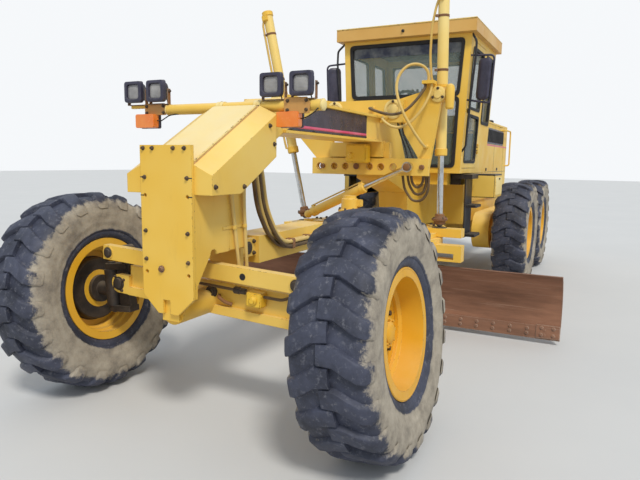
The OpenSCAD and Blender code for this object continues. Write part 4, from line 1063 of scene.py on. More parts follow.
# Each ring of a lamp: distance along the machine, half width, half height
LAMP_SHELL = [
    (-0.250, 0.052, 0.048), (-0.234, 0.054, 0.050), (-0.231, 0.060, 0.056), (-0.236, 0.0765, 0.0715),
    (-0.260, 0.0795, 0.0740), (-0.268, 0.070, 0.065), (-0.300, 0.061, 0.057), (-0.325, 0.046, 0.043),
    (-0.334, 0.030, 0.028)]
LAMP_LENS = [
    (-0.252, 0.0515, 0.0475), (-0.2475, 0.051, 0.047), (-0.2445, 0.040, 0.037), (-0.2425, 0.020, 0.018)]
STRAP_HALF = 0.084
# Half of a lamp strap's outline, round the lamp from one bolt to the other
STRAP = [(-STRAP_HALF, 2.072), (-STRAP_HALF, 1.966), (STRAP_HALF, 1.966), (STRAP_HALF, 2.072),
         (0.080, 2.072), (0.080, 1.970), (-0.080, 1.970), (-0.080, 2.072)]
# Each signal: lowest and highest Y and Z
SIGNALS = ((-0.862, -0.689, 1.805, 1.905), (0.291, 0.454, 1.795, 1.8945))


def lamp_rings(rings, y):
    """Rounded rings of a shell or lens round a lamp's middle line."""
    return [[(x, y + u, LAMP_Z + v) for u, v in softened(oblong((-wide, -high), (wide, high)), 0.022)]
            for x, wide, high in rings]


def make_lamps():
    """Shells, lenses, straps and wires of the four lamps, and the bar's own wires."""
    shells = Form()
    lenses = Form()
    straps = Form()
    wires = []
    for y in LAMP_PLACES:
        shells.skin(lamp_rings(LAMP_SHELL, y))
        lenses.skin(lamp_rings(LAMP_LENS, y))
        straps.plate([(y + u, v) for u, v in STRAP], "x", -0.302, -0.272, 0.001)
        wires.append([(-0.330, y, 2.050), (-0.350, y + 0.004, 2.020), (-0.345, y + 0.020, 1.985),
                      (-0.325, y + 0.035, 1.952)])
    shells.done("work_lamp_shells", "front", NAVY, replaces=["work_lamps"])
    lenses.done("work_lamp_glass", "front", GLASS)
    straps.done("lamp_straps", "front", RUST)
    places = [((-0.287, y + side * STRAP_HALF, LAMP_Z), (0, side, 0))
              for y in LAMP_PLACES for _, side in SIDES]
    bolts("lamp_strap_bolts", places, "front", OLD_BOLT, 0.008)
    wires += [
        [(-0.290, 0.050, 1.898), (-0.262, 0.110, 1.872), (-0.258, 0.190, 1.880), (-0.262, 0.240, 1.835),
         (-0.275, 0.292, 1.845)],
        [(-0.290, 0.452, 1.850), (-0.268, 0.500, 1.856), (-0.266, 0.555, 1.885), (-0.276, 0.580, 1.915)],
        [(-0.290, -0.690, 1.860), (-0.262, -0.640, 1.850), (-0.262, -0.560, 1.890), (-0.290, -0.500, 1.900)]]
    tubes("lamp_wires", wires, 0.004, "front", RUBBER, bend=0.02, sides=8)


def make_signals():
    """The two turn signals with their backs, and the brackets beside them."""
    backs = Form()
    lenses = Form()
    for y0, y1, z0, z1 in SIGNALS:
        backs.block((-0.332, y0 + 0.001, z0 + 0.001), (-0.302, y1 - 0.001, z1 - 0.001), 0.006)
        lens = softened(oblong((y0 + 0.003, z0 + 0.003), (y1 - 0.003, z1 - 0.003)), 0.014)
        lenses.plate(lens, "x", -0.304, -0.250, 0.007)
    backs.block((-0.306, -0.790, 1.900), (-0.294, -0.765, 1.9445), 0.001)
    backs.done("signal_backs", "front", NAVY)
    lenses.done("signal_lenses", "front", ORANGE, replaces=["turn_signals"])
    left_face, right_face = -0.2615, -0.2845
    thick = 0.004
    brackets = Form()
    brackets.plate([(0.345, 1.878), (0.520, 1.878), (0.528, 1.940), (0.505, 1.976), (0.345, 1.976)], "x",
                   left_face - thick, left_face, 0.001)
    brackets.plate([(-0.800, 1.895), (-0.610, 1.895), (-0.600, 1.960), (-0.625, 1.976), (-0.800, 1.976)], "x",
                   right_face - thick, right_face, 0.001)
    brackets.done("signal_brackets", "front", STAINED)
    places = ahead(left_face, [(y, z) for y in (0.370, 0.500) for z in (1.900, 1.956)])
    places += ahead(right_face, [(y, z) for y in (-0.780, -0.630) for z in (1.912, 1.956)])
    bolts("signal_bracket_bolts", places, "front", OLD_BOLT, 0.008)


def make_lamp_bar_ends():
    """End plugs, sleeves and clamps of the lamp bar; each outline is (distance outwards, radius)."""
    fittings = (
        (0.592, [(0.0, 0.0375), (0.008, 0.0375), (0.014, 0.030), (0.017, 0.016), (0.018, 0.0)], False),
        (0.118, [(0, 0.034), (0, 0.0405), (0.054, 0.0405), (0.054, 0.034)], True),
        (0.142, [(0, 0.038), (0, 0.043), (0.006, 0.043), (0.006, 0.038)], True))
    ends = Form()
    for _, side in SIDES:
        for out, profile, closed in fittings:
            ends.turned((LAMP_BAR_X, side * out, LAMP_BAR_Z), (0, side, 0), profile, closed=closed)
    ends.done("lamp_bar_ends", "front", CREAM)
    spots = [(side * y, LAMP_BAR_Z) for _, side in SIDES for y in (0.128, 0.162)]
    bolts("lamp_bar_bolts", ahead(-0.2645, spots), "front", OLD_BOLT, 0.007)


make_nose()
make_column_pipes()
make_axle_fittings()
make_link_bar()
make_lamps()
make_signals()
make_lamp_bar_ends()

# Main beam, lift arms and their cylinders

ARM_FACE = -2.4103
ARM_PIVOT = (0.30, 2.08)
# Each lift cylinder: trunnion Y and Z, eye Y and Z
LIFTS = {"left": (0.700, 2.210, 0.725, 1.030), "right": (-1.000, 2.215, -0.730, 1.030)}
LIFT_X = -2.551
SADDLE_Z = 1.55
# The centre-shift cylinder's two ends, Y and Z
SHIFT_TOP = (0.472, 1.551)
SHIFT_BASE = (-0.560, 1.062)
SHIFT_X = -2.30


def make_beam_sides():
    """The beam's dark side panels with their stripes and screws, and the valve box beside the saddle."""
    rear = -2.016
    panels = Form()
    pinks = Form()
    reds = Form()
    for _, side in SIDES:
        panels.side_plate(side, [(-0.610, 1.803), (-2.020, 1.803), (-2.020, 1.997), (-1.140, 1.997)],
                          0.163, 0.171, 0.002)
        pinks.side_plate(side, [(-0.720, 1.828), (rear, 1.828), (rear, 1.843), (-0.750, 1.843)],
                         0.170, 0.1722, 0.0005)
        reds.side_plate(side, [(-0.705, 1.8215), (rear, 1.8215), (rear, 1.8275), (-0.720, 1.8275)],
                        0.170, 0.1722, 0.0005)
    panels.done("beam_side_panels", "front", PANEL)
    pinks.done("beam_pink_stripes", "front", PINK)
    reds.done("beam_red_stripes", "front", RED)
    spots = [(x, 1.811) for x in (-0.66, -1.0, -1.5, -2.0)] + [(x, 1.988) for x in (-2.0, -1.2)]
    bolts("beam_panel_screws", outwards(0.1712, spots), "front", BLACK, 0.006, 0.004)
    box = Form()
    box.block((-2.330, -0.120, 1.583), (-2.210, 0.090, 1.758), 0.010)
    box.turned((-2.210, -0.060, 1.650), FORWARD, [
        (0, 0.030), (0.008, 0.030), (0.012, 0.022), (0.020, 0.020), (0.020, 0)])
    box.done("saddle_valve_box", "front", BRIGHT)


def make_arm_bosses():
    """Caps on the lift arms' pivots and trunnions, and the pins and hole rims of the saddle."""
    pivots = [(side * ARM_PIVOT[0], ARM_PIVOT[1]) for _, side in SIDES]
    trunnions = [LIFTS[name][:2] for name, _ in SIDES]
    caps = Form()
    for y, z in pivots:
        caps.turned((-2.341, y, z), FORWARD, [
            (0, 0.088), (0.010, 0.088), (0.014, 0.082), (0.014, 0.062), (0.006, 0.060), (0.006, 0.046),
            (0.018, 0.044), (0.022, 0.036), (0.022, 0.0)], 40)
    for y, z in trunnions:
        caps.turned((ARM_FACE - 0.001, y, z), FORWARD, [
            (0, 0.072), (0.010, 0.072), (0.014, 0.066), (0.014, 0.040), (0.022, 0.036), (0.022, 0.0)], 40)
    caps.done("lift_arm_caps", "front", CREAM)
    places = []
    for middles, radius, x in ((pivots, 0.072, -2.327), (trunnions, 0.053, -2.396)):
        for y, z in middles:
            places += ahead(x, [(y + radius * c, z + radius * s) for c, s in circle_steps(3, math.pi / 2)])
    bolts("lift_arm_cap_bolts", places, "front", OLD_BOLT, 0.009)
    rings = Form()
    for y in (-0.467, -0.307, -0.187, 0.071, 0.186, 0.309):
        rings.hoop((-2.3595, y, SADDLE_Z), FORWARD, 0.0315, 0.0035, 32, 8)
    rings.done("link_hole_rims", "front", STAINED)
    pins = Form()
    for y in (-0.430, 0.590):
        pins.turned((-2.400, y, SADDLE_Z), FORWARD, [(0, 0.024), (0.060, 0.024), (0.063, 0.020), (0.063, 0)])
    pins.turned((-2.262, *SHIFT_TOP), FORWARD, [(0, 0.034), (0.008, 0.034), (0.012, 0.026), (0.012, 0)])
    pins.turned((-2.353, -0.067, SADDLE_Z), FORWARD, [(0, 0.030), (0.006, 0.030), (0.006, 0)])
    pins.done("saddle_pins", "front", RUST)
    knob = Form()
    knob.turned((-2.405, 0.812, 2.075), UPWARD, [
        (0, 0.028), (0.010, 0.037), (0.080, 0.040), (0.180, 0.040), (0.208, 0.032), (0.222, 0.014),
        (0.224, 0.0)])
    knob.done("lift_arm_knob", "front", YELLOW)


def lift_space(name):
    """A lift cylinder's space, with its origin at the trunnion and Z up along its barrel, and its reach."""
    trunnion_y, trunnion_z, eye_y, eye_z = LIFTS[name]
    turn = Matrix.Rotation(-math.atan2(trunnion_y - eye_y, trunnion_z - eye_z), 4, "X")
    reach = math.hypot(trunnion_y - eye_y, trunnion_z - eye_z)
    return Matrix.Translation((LIFT_X, trunnion_y, trunnion_z)) @ turn, reach


# The left barrel's hose hangs free in a bow, the right one's pipe runs straight
BARREL_PIPES = {
    "left": [(0.030, -0.045, 0.088), (0.030, -0.092, 0.140), (0.030, -0.112, 0.350), (0.030, -0.100, 0.620),
             (0.030, -0.062, 0.800), (0.040, -0.030, 0.870)],
    "right": [(0.046, -0.048, -0.500), (0.054, -0.050, -0.440), (0.050, -0.052, -0.120),
              (0.050, -0.052, 0.100), (0.050, -0.050, 0.820), (0.050, -0.020, 0.870)]}
# Rings on a lift barrel: height above the trunnion, radius
BARREL_RINGS = (
    ([(-0.552, 0.0300), (-0.552, 0.050), (-0.545, 0.058), (-0.488, 0.058), (-0.482, 0.0495),
      (-0.482, 0.0300)], True),
    ([(0.905, 0.0495), (0.905, 0.0575), (0.945, 0.0575), (0.952, 0.050), (0.952, 0.0)], False),
    ([(0.075, 0.049), (0.075, 0.056), (0.100, 0.056), (0.100, 0.049)], True))
EYE_CAP = [
    (-0.018, 0.040), (-0.014, 0.052), (0.010, 0.056), (0.024, 0.074), (0.040, 0.074), (0.046, 0.058),
    (0.056, 0.046), (0.082, 0.040), (0.086, 0.0285), (0.030, 0.0285)]


def make_lift_cylinders():
    """Rings, bands, pipe and eye cap of each cylinder that lifts the drawbar."""
    for name, _ in SIDES:
        place, reach = lift_space(name)
        body = "lift_cylinder_" + name
        dress = Form(place)
        for profile, closed in BARREL_RINGS:
            dress.turned((0, 0, 0), UPWARD, profile, 36, closed)
        dress.block((0.030, -0.040, 0.845), (0.072, 0.020, 0.905), 0.006)
        dress.done("lift_cylinder_ends_" + name, body, YELLOW)
        bands = Form(place)
        for z in (0.22, 0.70):
            bands.turned((0, 0, z), UPWARD, [(0, 0.049), (0, 0.0525), (0.022, 0.0525), (0.022, 0.049)], 36,
                         closed=True)
            bands.block((0.030, -0.062, z), (0.060, -0.036, z + 0.022), 0.002)
        bands.done("lift_pipe_bands_" + name, body, RUST)
        tubes("lift_cylinder_pipe_" + name, [BARREL_PIPES[name]], 0.0115, body, PAINTED_HOSE,
              bend=0.08, place=place)
        ring_face = [seen_from(place, (0.0960, y, z), FORWARD)
                     for y in (-0.060, 0.060) for z in (-0.040, 0.040)]
        bolts("lift_ring_bolts_" + name, ring_face, "lift_ring_" + name, OLD_BOLT, 0.009)
        collar = Form(place)
        collar.turned((0, 0, -reach), UPWARD, EYE_CAP, 36, closed=True)
        collar.done("lift_eye_cap_" + name, "lift_rod_" + name, RUST)
        radius = 0.064
        eye_bolts = [seen_from(place, (radius * c, radius * s, 0.0405 - reach), UPWARD)
                     for c, s in circle_steps(4, math.pi / 4)]
        bolts("lift_eye_bolts_" + name, eye_bolts, "lift_rod_" + name, OLD_BOLT, 0.008)


def make_saddle_hoses():
    """Slack hoses under the left end of the saddle, and two thin ones from the beam down to it."""
    tubes("saddle_hose_loops", [
        [(-2.425, 0.430, 1.500), (-2.445, 0.440, 1.390), (-2.455, 0.500, 1.290), (-2.455, 0.580, 1.300),
         (-2.450, 0.610, 1.390), (-2.425, 0.610, 1.490)],
        [(-2.425, 0.380, 1.500), (-2.440, 0.400, 1.340), (-2.460, 0.480, 1.225), (-2.465, 0.575, 1.235),
         (-2.460, 0.630, 1.330), (-2.435, 0.636, 1.490)],
        [(-2.415, 0.470, 1.490), (-2.420, 0.480, 1.400), (-2.425, 0.530, 1.350), (-2.425, 0.585, 1.400),
         (-2.415, 0.590, 1.490)]], 0.0125, "front", HOSE, bend=0.05)
    tubes("saddle_thin_hoses", [
        [(-2.385, 0.330, 1.965), (-2.400, 0.350, 1.870), (-2.405, 0.405, 1.740), (-2.395, 0.440, 1.625)],
        [(-2.380, 0.375, 1.965), (-2.385, 0.390, 1.860), (-2.392, 0.445, 1.740), (-2.385, 0.500, 1.625)]],
        0.007, "front", RUBBER, bend=0.05, sides=8)


def make_shift_cylinder():
    """End glands, ports and pipe of the centre-shift cylinder, in a space with Y along its barrel."""
    turn = math.atan2(SHIFT_TOP[1] - SHIFT_BASE[1], SHIFT_TOP[0] - SHIFT_BASE[0])
    place = Matrix.Translation((SHIFT_X, *SHIFT_TOP)) @ Matrix.Rotation(turn, 4, "X")
    along = (0, 1, 0)
    dress = Form(place)
    dress.turned((0, 0, 0), along, [
        (-0.520, 0.0445), (-0.516, 0.051), (-0.472, 0.051), (-0.466, 0.044), (-0.466, 0.0262),
        (-0.520, 0.0262)], 36, closed=True)
    dress.turned((0, 0, 0), along, [
        (-1.094, 0.030), (-1.094, 0.0440), (-1.086, 0.050), (-1.040, 0.050), (-1.036, 0.0445),
        (-1.036, 0.030)], 36, closed=True)
    for start, end in ((-1.070, -1.035), (-0.512, -0.480)):
        dress.block((-0.018, start, 0.042), (0.018, end, 0.066), 0.004)
    dress.done("shift_cylinder_ends", "shift_cylinder", YELLOW)
    pipe = [(0.0, -1.045, 0.060), (0.0, -1.000, 0.062), (0.0, -0.540, 0.062), (0.0, -0.500, 0.060)]
    tubes("shift_cylinder_pipe", [pipe], 0.008, "shift_cylinder", PAINTED_HOSE, place=place)


make_beam_sides()
make_arm_bosses()
make_lift_cylinders()
make_saddle_hoses()
make_shift_cylinder()

# Drawbar, circle and blade

CIRCLE = Matrix.Translation((joint_place("circle_turn").x, 0, 0))
# A guide shoe's section: distance from the circle's axis and height
SHOE = [(0.640, 0.934), (0.640, 0.975), (0.792, 0.975), (0.792, 0.872), (0.773, 0.872), (0.773, 0.934)]
SHOE_DEGREES = (-14, 14, 118, 242)
SHOE_HALF_DEGREES = 8
MOTOR_X = -1.930
MOTOR_Y = 0.060
DRAWBAR_PIN = joint_place("drawbar_swing")


def make_guide_shoes():
    """Shoes that hold the circle up under the drawbar."""
    shoes = Form(CIRCLE)
    places = []
    for middle in SHOE_DEGREES:
        arcs = []
        for step in range(7):
            t = math.radians(middle - SHOE_HALF_DEGREES + 2 * SHOE_HALF_DEGREES * step / 6)
            arcs.append([(r * math.cos(t), r * math.sin(t), z) for r, z in SHOE])
        shoes.skin(arcs)
        for r in (0.680, 0.745):
            for turn in (-5, 5):
                t = math.radians(middle + turn)
                places.append(seen_from(CIRCLE, (r * math.cos(t), r * math.sin(t), 0.9755), UPWARD))
    shoes.done("circle_guide_shoes", "drawbar", YELLOW, 30)
    bolts("guide_shoe_bolts", places, "drawbar", OLD_BOLT, 0.013, 0.012)


def make_drawbar_dress():
    """The motor that turns the circle, the seats of the lift eyes, and the caps of the front swivel."""
    motor = Form()
    motor.turned((MOTOR_X, MOTOR_Y, 0.930), UPWARD, [
        (0, 0.120), (0.045, 0.120), (0.050, 0.112), (0.090, 0.105), (0.100, 0.092), (0.210, 0.088),
        (0.216, 0.104), (0.236, 0.104), (0.242, 0.078), (0.330, 0.074), (0.336, 0.060), (0.360, 0.058),
        (0.362, 0)], 40)
    motor.block((-1.985, 0.100, 1.190), (-1.915, 0.170, 1.255), 0.006)
    motor.done("circle_drive_motor", "drawbar", YELLOW)
    radius = 0.096
    places = [((MOTOR_X + radius * c, MOTOR_Y + radius * s, 1.167), UPWARD) for c, s in circle_steps(8)]
    bolts("drive_motor_bolts", places, "drawbar", OLD_BOLT, 0.009)
    cups = Form()
    for name, z, high in (("left", 0.980, 0.007), ("right", 0.945, 0.030)):
        cups.turned((LIFT_X, LIFTS[name][2], z), UPWARD, [
            (0, 0.070), (high - 0.003, 0.070), (high, 0.062), (high, 0)], 36)
    cups.done("lift_eye_seats", "drawbar", GREASY)
    spots = [(x, DRAWBAR_PIN.z + up) for x, up in ((-0.30, 0.038), (-0.30, -0.038), (-0.345, 0.0))]
    bolts("drawbar_cap_bolts", outwards(0.0985, spots), "drawbar", OLD_BOLT, 0.010)
    pins = Form()
    for _, side in SIDES:
        pins.turned((DRAWBAR_PIN.x, side * 0.0945, DRAWBAR_PIN.z), (0, side, 0), [
            (0, 0.042), (0.005, 0.042), (0.008, 0.034), (0.012, 0.030), (0.012, 0)])
    pins.done("drawbar_pin_caps", "drawbar", GREASY)


def make_circle_teeth():
    """Inner teeth of the circle: one tooth, repeated round its axis."""
    count = 72
    flat = [(radius * math.cos(math.radians(degrees)), radius * math.sin(math.radians(degrees)))
            for radius, degrees in ((0.624, -1.9), (0.600, -1.25), (0.600, 1.25), (0.624, 1.9))]
    tooth = Form()
    tooth.plate(flat, "z", 0.8005, 0.8940, 0.002)
    repeated("circle_teeth", tooth, count, "circle", GREASY,
             turn=(0, 0, math.radians(360 / count)), place=CIRCLE)


def make_drawbar_hoses():
    """The fixed bundle from under the nose to the drawbar, which bends at the drawbar's swivel."""
    for finish, numbers in ((HOSE, (0, 2)), (PAINTED_HOSE, (1, 3))):
        paths = []
        for i in numbers:
            x = -0.240 - 0.036 * i
            low = 0.995 + 0.034 * (i % 2)
            out = 0.138 + 0.032 * (i // 2)
            paths.append([(x + 0.03, 0.120, 1.66), (x, 0.132, 1.52), (x - 0.045, 0.134, 1.29),
                          (-0.420 - 0.02 * i, out, 1.09), (-0.590, out, low), (-1.060, out, low),
                          (-1.130, out - 0.020, low)])
        name = "drawbar_hoses_" + str(numbers[0])
        made = tubes(name, paths, 0.0145, None, finish, bend=0.09)
        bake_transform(made)
    clips = Form()
    for x in (-0.700, -0.950):
        clips.plate(softened(oblong((0.119, 0.976), (0.190, 1.050)), 0.015), "x", x, x + 0.026, 0.001)
    clips.done("drawbar_hose_clips", "drawbar", RUST)


# Space of the blade's cutting edge: origin at the moldboard's foot, X forward, leaning with the blade
BLADE_FACE = Matrix(((0.9459, 0, -0.3244, -2.5597), (0, 1, 0, 0), (0.3244, 0, 0.9459, 0.150), (0, 0, 0, 1)))
MOLDBOARD_LOW = 0.150
MOLDBOARD_HIGH = 0.640
MOLDBOARD_STEPS = 8


def moldboard_line(radius, z):
    """Point of the moldboard's curve of that radius at a height, as (x, z)."""
    return -2.169 - math.sqrt(radius ** 2 - (z - 0.284) ** 2), z


def make_blade_dress():
    """Bolts of the cutting edge, the end bits, and the plates on the moldboard's ends."""
    places = [seen_from(BLADE_FACE, (0.0206, -1.725 + 0.15 * i, -down), FORWARD)
              for i in range(24) for down in (0.035, 0.080)]
    bolts("cutting_edge_bolts", places, "blade", EDGE, 0.0125, 0.007)
    bits = Form(BLADE_FACE)
    for _, side in SIDES:
        bits.side_block(side, (0.010, 0.029), (1.650, 1.8535), (-0.113, 0.010), 0.004)
    bits.done("blade_end_bits", "blade", EDGE)
    places = [seen_from(BLADE_FACE, (0.0292, side * y, -down), FORWARD)
              for _, side in SIDES for y in (1.70, 1.80) for down in (0.020, 0.080)]
    bolts("end_bit_bolts", places, "blade", EDGE, 0.0125, 0.007)
    heights = [MOLDBOARD_LOW + (MOLDBOARD_HIGH - MOLDBOARD_LOW) * step / MOLDBOARD_STEPS
               for step in range(MOLDBOARD_STEPS + 1)]
    curve = [moldboard_line(0.412, z) for z in heights]
    curve += [moldboard_line(0.437, z) for z in reversed(heights)]
    ends = Form()
    for _, side in SIDES:
        ends.side_plate(side, curve, 1.8490, 1.8545, 0.0)
    ends.done("moldboard_ends", "blade", BLADE)


make_guide_shoes()
make_drawbar_dress()
make_circle_teeth()
make_drawbar_hoses()
make_blade_dress()

# Cab

CAB_LEAN = math.radians(2.7084)
CAB_FRONT = -3.500
CAB_REAR = -4.850
CAB_FLOOR = 1.5305
WINDSHIELD = [(-0.610, 2.330), (0.610, 2.330), (0.650, 2.900), (-0.650, 2.900)]
LOW_PANE = [(-0.590, 1.560), (0.590, 1.560), (0.612, 2.290), (-0.612, 2.290)]
REAR_PANE = [(-0.580, 2.000), (0.580, 2.000), (0.620, 2.860), (-0.620, 2.860)]
SIDE_PANE = oblong((-4.760, 0.600), (-4.330, 1.3617))
DOOR = oblong((-4.240, 0.060), (-3.570, 1.4217))
DOOR_SPLIT = 0.680
DOOR_PANES = (oblong((-4.180, 0.130), (-3.620, 0.640)), oblong((-4.180, 0.720), (-3.620, 1.3517)))
HINGES = (0.25, 1.10)
MIRROR_X = -3.525
MIRROR_TURN = math.radians(-28)
# A mirror housing's rings: depth, how far it draws in, and its corners' radius
MIRROR_RINGS = ((-0.0205, 0.004, 0.050), (-0.015, 0.0, 0.054), (0.010, 0.004, 0.054), (0.018, 0.016, 0.054),
                (0.021, 0.034, 0.044))


def cab_side(side):
    """Space of a cab side: origin at the floor's edge, Y outwards, Z up the leaning wall."""
    return (Matrix.Translation((0, side * 0.670, 1.480)) @ Matrix.Rotation(-side * CAB_LEAN, 4, "X")
            @ Matrix.Scale(side, 4, (0, 1, 0)))


def seal(form, pane, axis, low, high, lip=0.020, cover=0.016):
    """A rubber frame round a pane, wider than it by the lip and covering its rim."""
    form.surround(softened(grown(pane, lip), 0.055), softened(grown(pane, -cover), 0.045), axis, low, high)


def make_cab_seals():
    """Rubber round the fixed panes, and the dark strip along the windshield's top."""
    rubber = Form()
    seal(rubber, WINDSHIELD, "x", CAB_FRONT - 0.022, CAB_FRONT + 0.008)
    seal(rubber, LOW_PANE, "x", CAB_FRONT - 0.022, CAB_FRONT + 0.008)
    seal(rubber, REAR_PANE, "x", CAB_REAR - 0.008, CAB_REAR + 0.026)
    rubber.done("windscreen_seals", "front", RUBBER)
    for name, side in SIDES:
        rubber = Form(cab_side(side))
        seal(rubber, SIDE_PANE, "y", -0.026, 0.007)
        rubber.done("side_window_seal_" + name, "front", RUBBER)
    film = Form()
    film.plate([(-0.640, 2.775), (0.640, 2.775), (0.6480, 2.886), (-0.6480, 2.886)], "x", CAB_FRONT - 0.0238,
               CAB_FRONT - 0.0215, 0.0)
    film.done("sun_strip", "front", FILM)


def make_door_shell(name, body, place):
    """A door's two frames, cut across at its split, with its hinges."""
    shell = Form(place)
    outers = (oblong(DOOR[0], (DOOR[2][0], DOOR_SPLIT)), oblong((DOOR[0][0], DOOR_SPLIT), DOOR[2]))
    for outer, pane in zip(outers, DOOR_PANES):
        shell.surround(softened(outer, 0.002), softened(pane, 0.05), "y", -0.040, 0.0)
    for z in HINGES:
        shell.turned((-4.240, 0.014, z), UPWARD, [
            (0, 0.0065), (0, 0.012), (0.070, 0.012), (0.070, 0.0065)], 20, closed=True)
        shell.block((-4.232, -0.002, z), (-4.195, 0.008, z + 0.070), 0.002)
    shell.done("door_shell_" + name, body, YELLOW, replaces=["door_" + name])


def make_doors():
    """Each door's shell, panes, seals and handle, in the space of its cab side."""
    for name, side in SIDES:
        body = "door_" + name
        place = cab_side(side)
        make_door_shell(name, body, place)
        panes = Form(place)
        rubber = Form(place)
        for pane in DOOR_PANES:
            panes.plate(grown(pane, 0.004), "y", -0.023, -0.017, 0.0)
            seal(rubber, pane, "y", -0.026, 0.006, 0.016, 0.014)
        panes.done("door_glass_" + name, body, PANE)
        rubber.done("door_seals_" + name, body, RUBBER)
        handle = Form(place)
        handle.plate(softened(oblong((-3.606, 0.655), (-3.580, 0.705)), 0.008), "y", -0.001, 0.010, 0.002)
        handle.block((-3.602, 0.008, 0.672), (-3.560, 0.020, 0.688), 0.004)
        handle.done("door_handle_" + name, body, BLACK)
        places = [seen_from(place, (-4.205, 0.0082, z + up), (0, 1, 0))
                  for z in HINGES for up in (0.015, 0.055)]
        bolts("hinge_bolts_" + name, places, body, OLD_BOLT, 0.006)


def mirror_ring(depth, draw, corner):
    """One rounded ring of a mirror housing."""
    outline = oblong((draw - 0.078, draw - 0.2175), (0.078 - draw, 0.2175 - draw))
    return [(depth, u, v) for u, v in softened(outline, corner)]


def make_mirrors():
    """Each housing stands on a loop of tube from the cab's front pillar, turned towards the operator."""
    arms = []
    backs = Form()
    glass = Form()
    # the loop's points: distance from the cab's side and height
    loop = ((-0.004, 1.2535), (0.2455, 1.2535), (0.2455, 0.760), (-0.004, 0.790))
    for _, side in SIDES:
        place = cab_side(side)
        arms.append([place @ Vector((MIRROR_X, out, up)) for out, up in loop])
        turned = (place @ Matrix.Translation((MIRROR_X, 0.152, 1.0075))
                  @ Matrix.Rotation(MIRROR_TURN, 4, "Z"))
        backs.place = turned
        glass.place = turned
        backs.skin([mirror_ring(*ring) for ring in MIRROR_RINGS])
        glass.plate(softened(oblong((-0.068, -0.206), (0.068, 0.206)), 0.044), "x", -0.0225, -0.0200, 0.0005)
    tubes("mirror_arms", arms, 0.011, "front", NAVY, bend=0.05)
    backs.done("mirror_backs", "front", NAVY, replaces=["mirrors"])
    glass.done("mirror_glass", "front", MIRROR)


CHANNELS = (-0.42, 0.42)


def cushion(name, place, half):
    """A stuffed cushion crowned along Z: its sides pull in between corners, sewn channels run across Y."""
    mesh = bmesh.new()
    bmesh.ops.create_cube(mesh, size=2)
    bmesh.ops.subdivide_edges(mesh, edges=list(mesh.edges), cuts=27, use_grid_fill=True)
    for vert in mesh.verts:
        u, v, w = vert.co
        flat = max(abs(u), abs(v), abs(w))
        ball = (abs(u) ** 7 + abs(v) ** 7 + abs(w) ** 7) ** (1 / 7)
        u, v, w = (c * flat / ball for c in (u, v, w))
        pull_u = 1 - 0.045 * (1 - v * v) * abs(u) ** 6
        pull_v = 1 - 0.045 * (1 - u * u) * abs(v) ** 6
        if w > 0:
            w *= 1 + 0.26 * (1 - u * u) * (1 - v * v)
            w -= 0.20 * sum(math.exp(-((v - c) / 0.045) ** 2) for c in CHANNELS) * (1 - u ** 8)
            w -= 0.10 * math.exp(-((abs(u) - 0.72) / 0.05) ** 2) * (1 - v ** 8)
        vert.co = place @ Vector((u * pull_u * half[0], v * pull_v * half[1], w * half[2]))
    bmesh.ops.recalc_face_normals(mesh, faces=mesh.faces)
    form = Form()
    form.mesh.free()
    form.mesh = mesh
    made = form.done(name, "front", FABRIC, 60)
    return made


def make_seat():
    """Two stuffed cushions on a frame with bellows and arm rests."""
    seat = cushion("seat_cushion", Matrix.Translation((-4.050, 0, 1.868)), (0.230, 0.250, 0.058))
    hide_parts("seat")
    upright = Matrix(((0, 0, 1, -4.285), (0, 1, 0, 0), (1, 0, 0, 2.205), (0, 0, 0, 1)))
    cushion("seat_back", upright, (0.272, 0.240, 0.048))
    base = Form()
    base.block((-4.200, -0.180, CAB_FLOOR), (-3.900, 0.180, 1.560), 0.004)
    base.block((-4.160, -0.140, 1.560), (-3.940, 0.140, 1.740), 0.010)
    base.block((-4.250, -0.225, 1.740), (-3.850, 0.225, 1.812), 0.012)
    base.block((-4.352, -0.200, 1.800), (-4.328, 0.200, 2.440), 0.008)
    for fold in range(5):
        z = 1.582 + 0.032 * fold
        base.plate(softened(oblong((-4.172, -0.152), (-3.928, 0.152)), 0.03), "z", z, z + 0.012, 0.004)
    for _, side in SIDES:
        base.side_block(side, (-4.220, -3.960), (0.262, 0.302), (1.990, 2.030), 0.012)
        base.side_block(side, (-4.230, -4.200), (0.272, 0.292), (1.800, 2.000), 0.006)
    base.done("seat_frame", "front", RUBBER)


def make_steering_wheel():
    """A rim, a hub and three spokes, leaning towards the seat."""
    hub = Matrix.Translation((-3.770, 0, 2.270)) @ Matrix.Rotation(math.radians(-35), 4, "Y")
    wheel = Form(hub)
    wheel.hoop((0, 0, 0.015), UPWARD, 0.198, 0.014)
    wheel.turned((0, 0, 0), UPWARD, [
        (-0.110, 0.022), (-0.020, 0.026), (-0.002, 0.040), (0.022, 0.040), (0.028, 0.030), (0.028, 0)])
    for c, s in circle_steps(3, math.pi / 2):
        wheel.turned((0.03 * c, 0.03 * s, 0.012), (c, s, 0), [(0, 0.012), (0.160, 0.008)], 12)
    wheel.done("steering_wheel", "front", RUBBER)


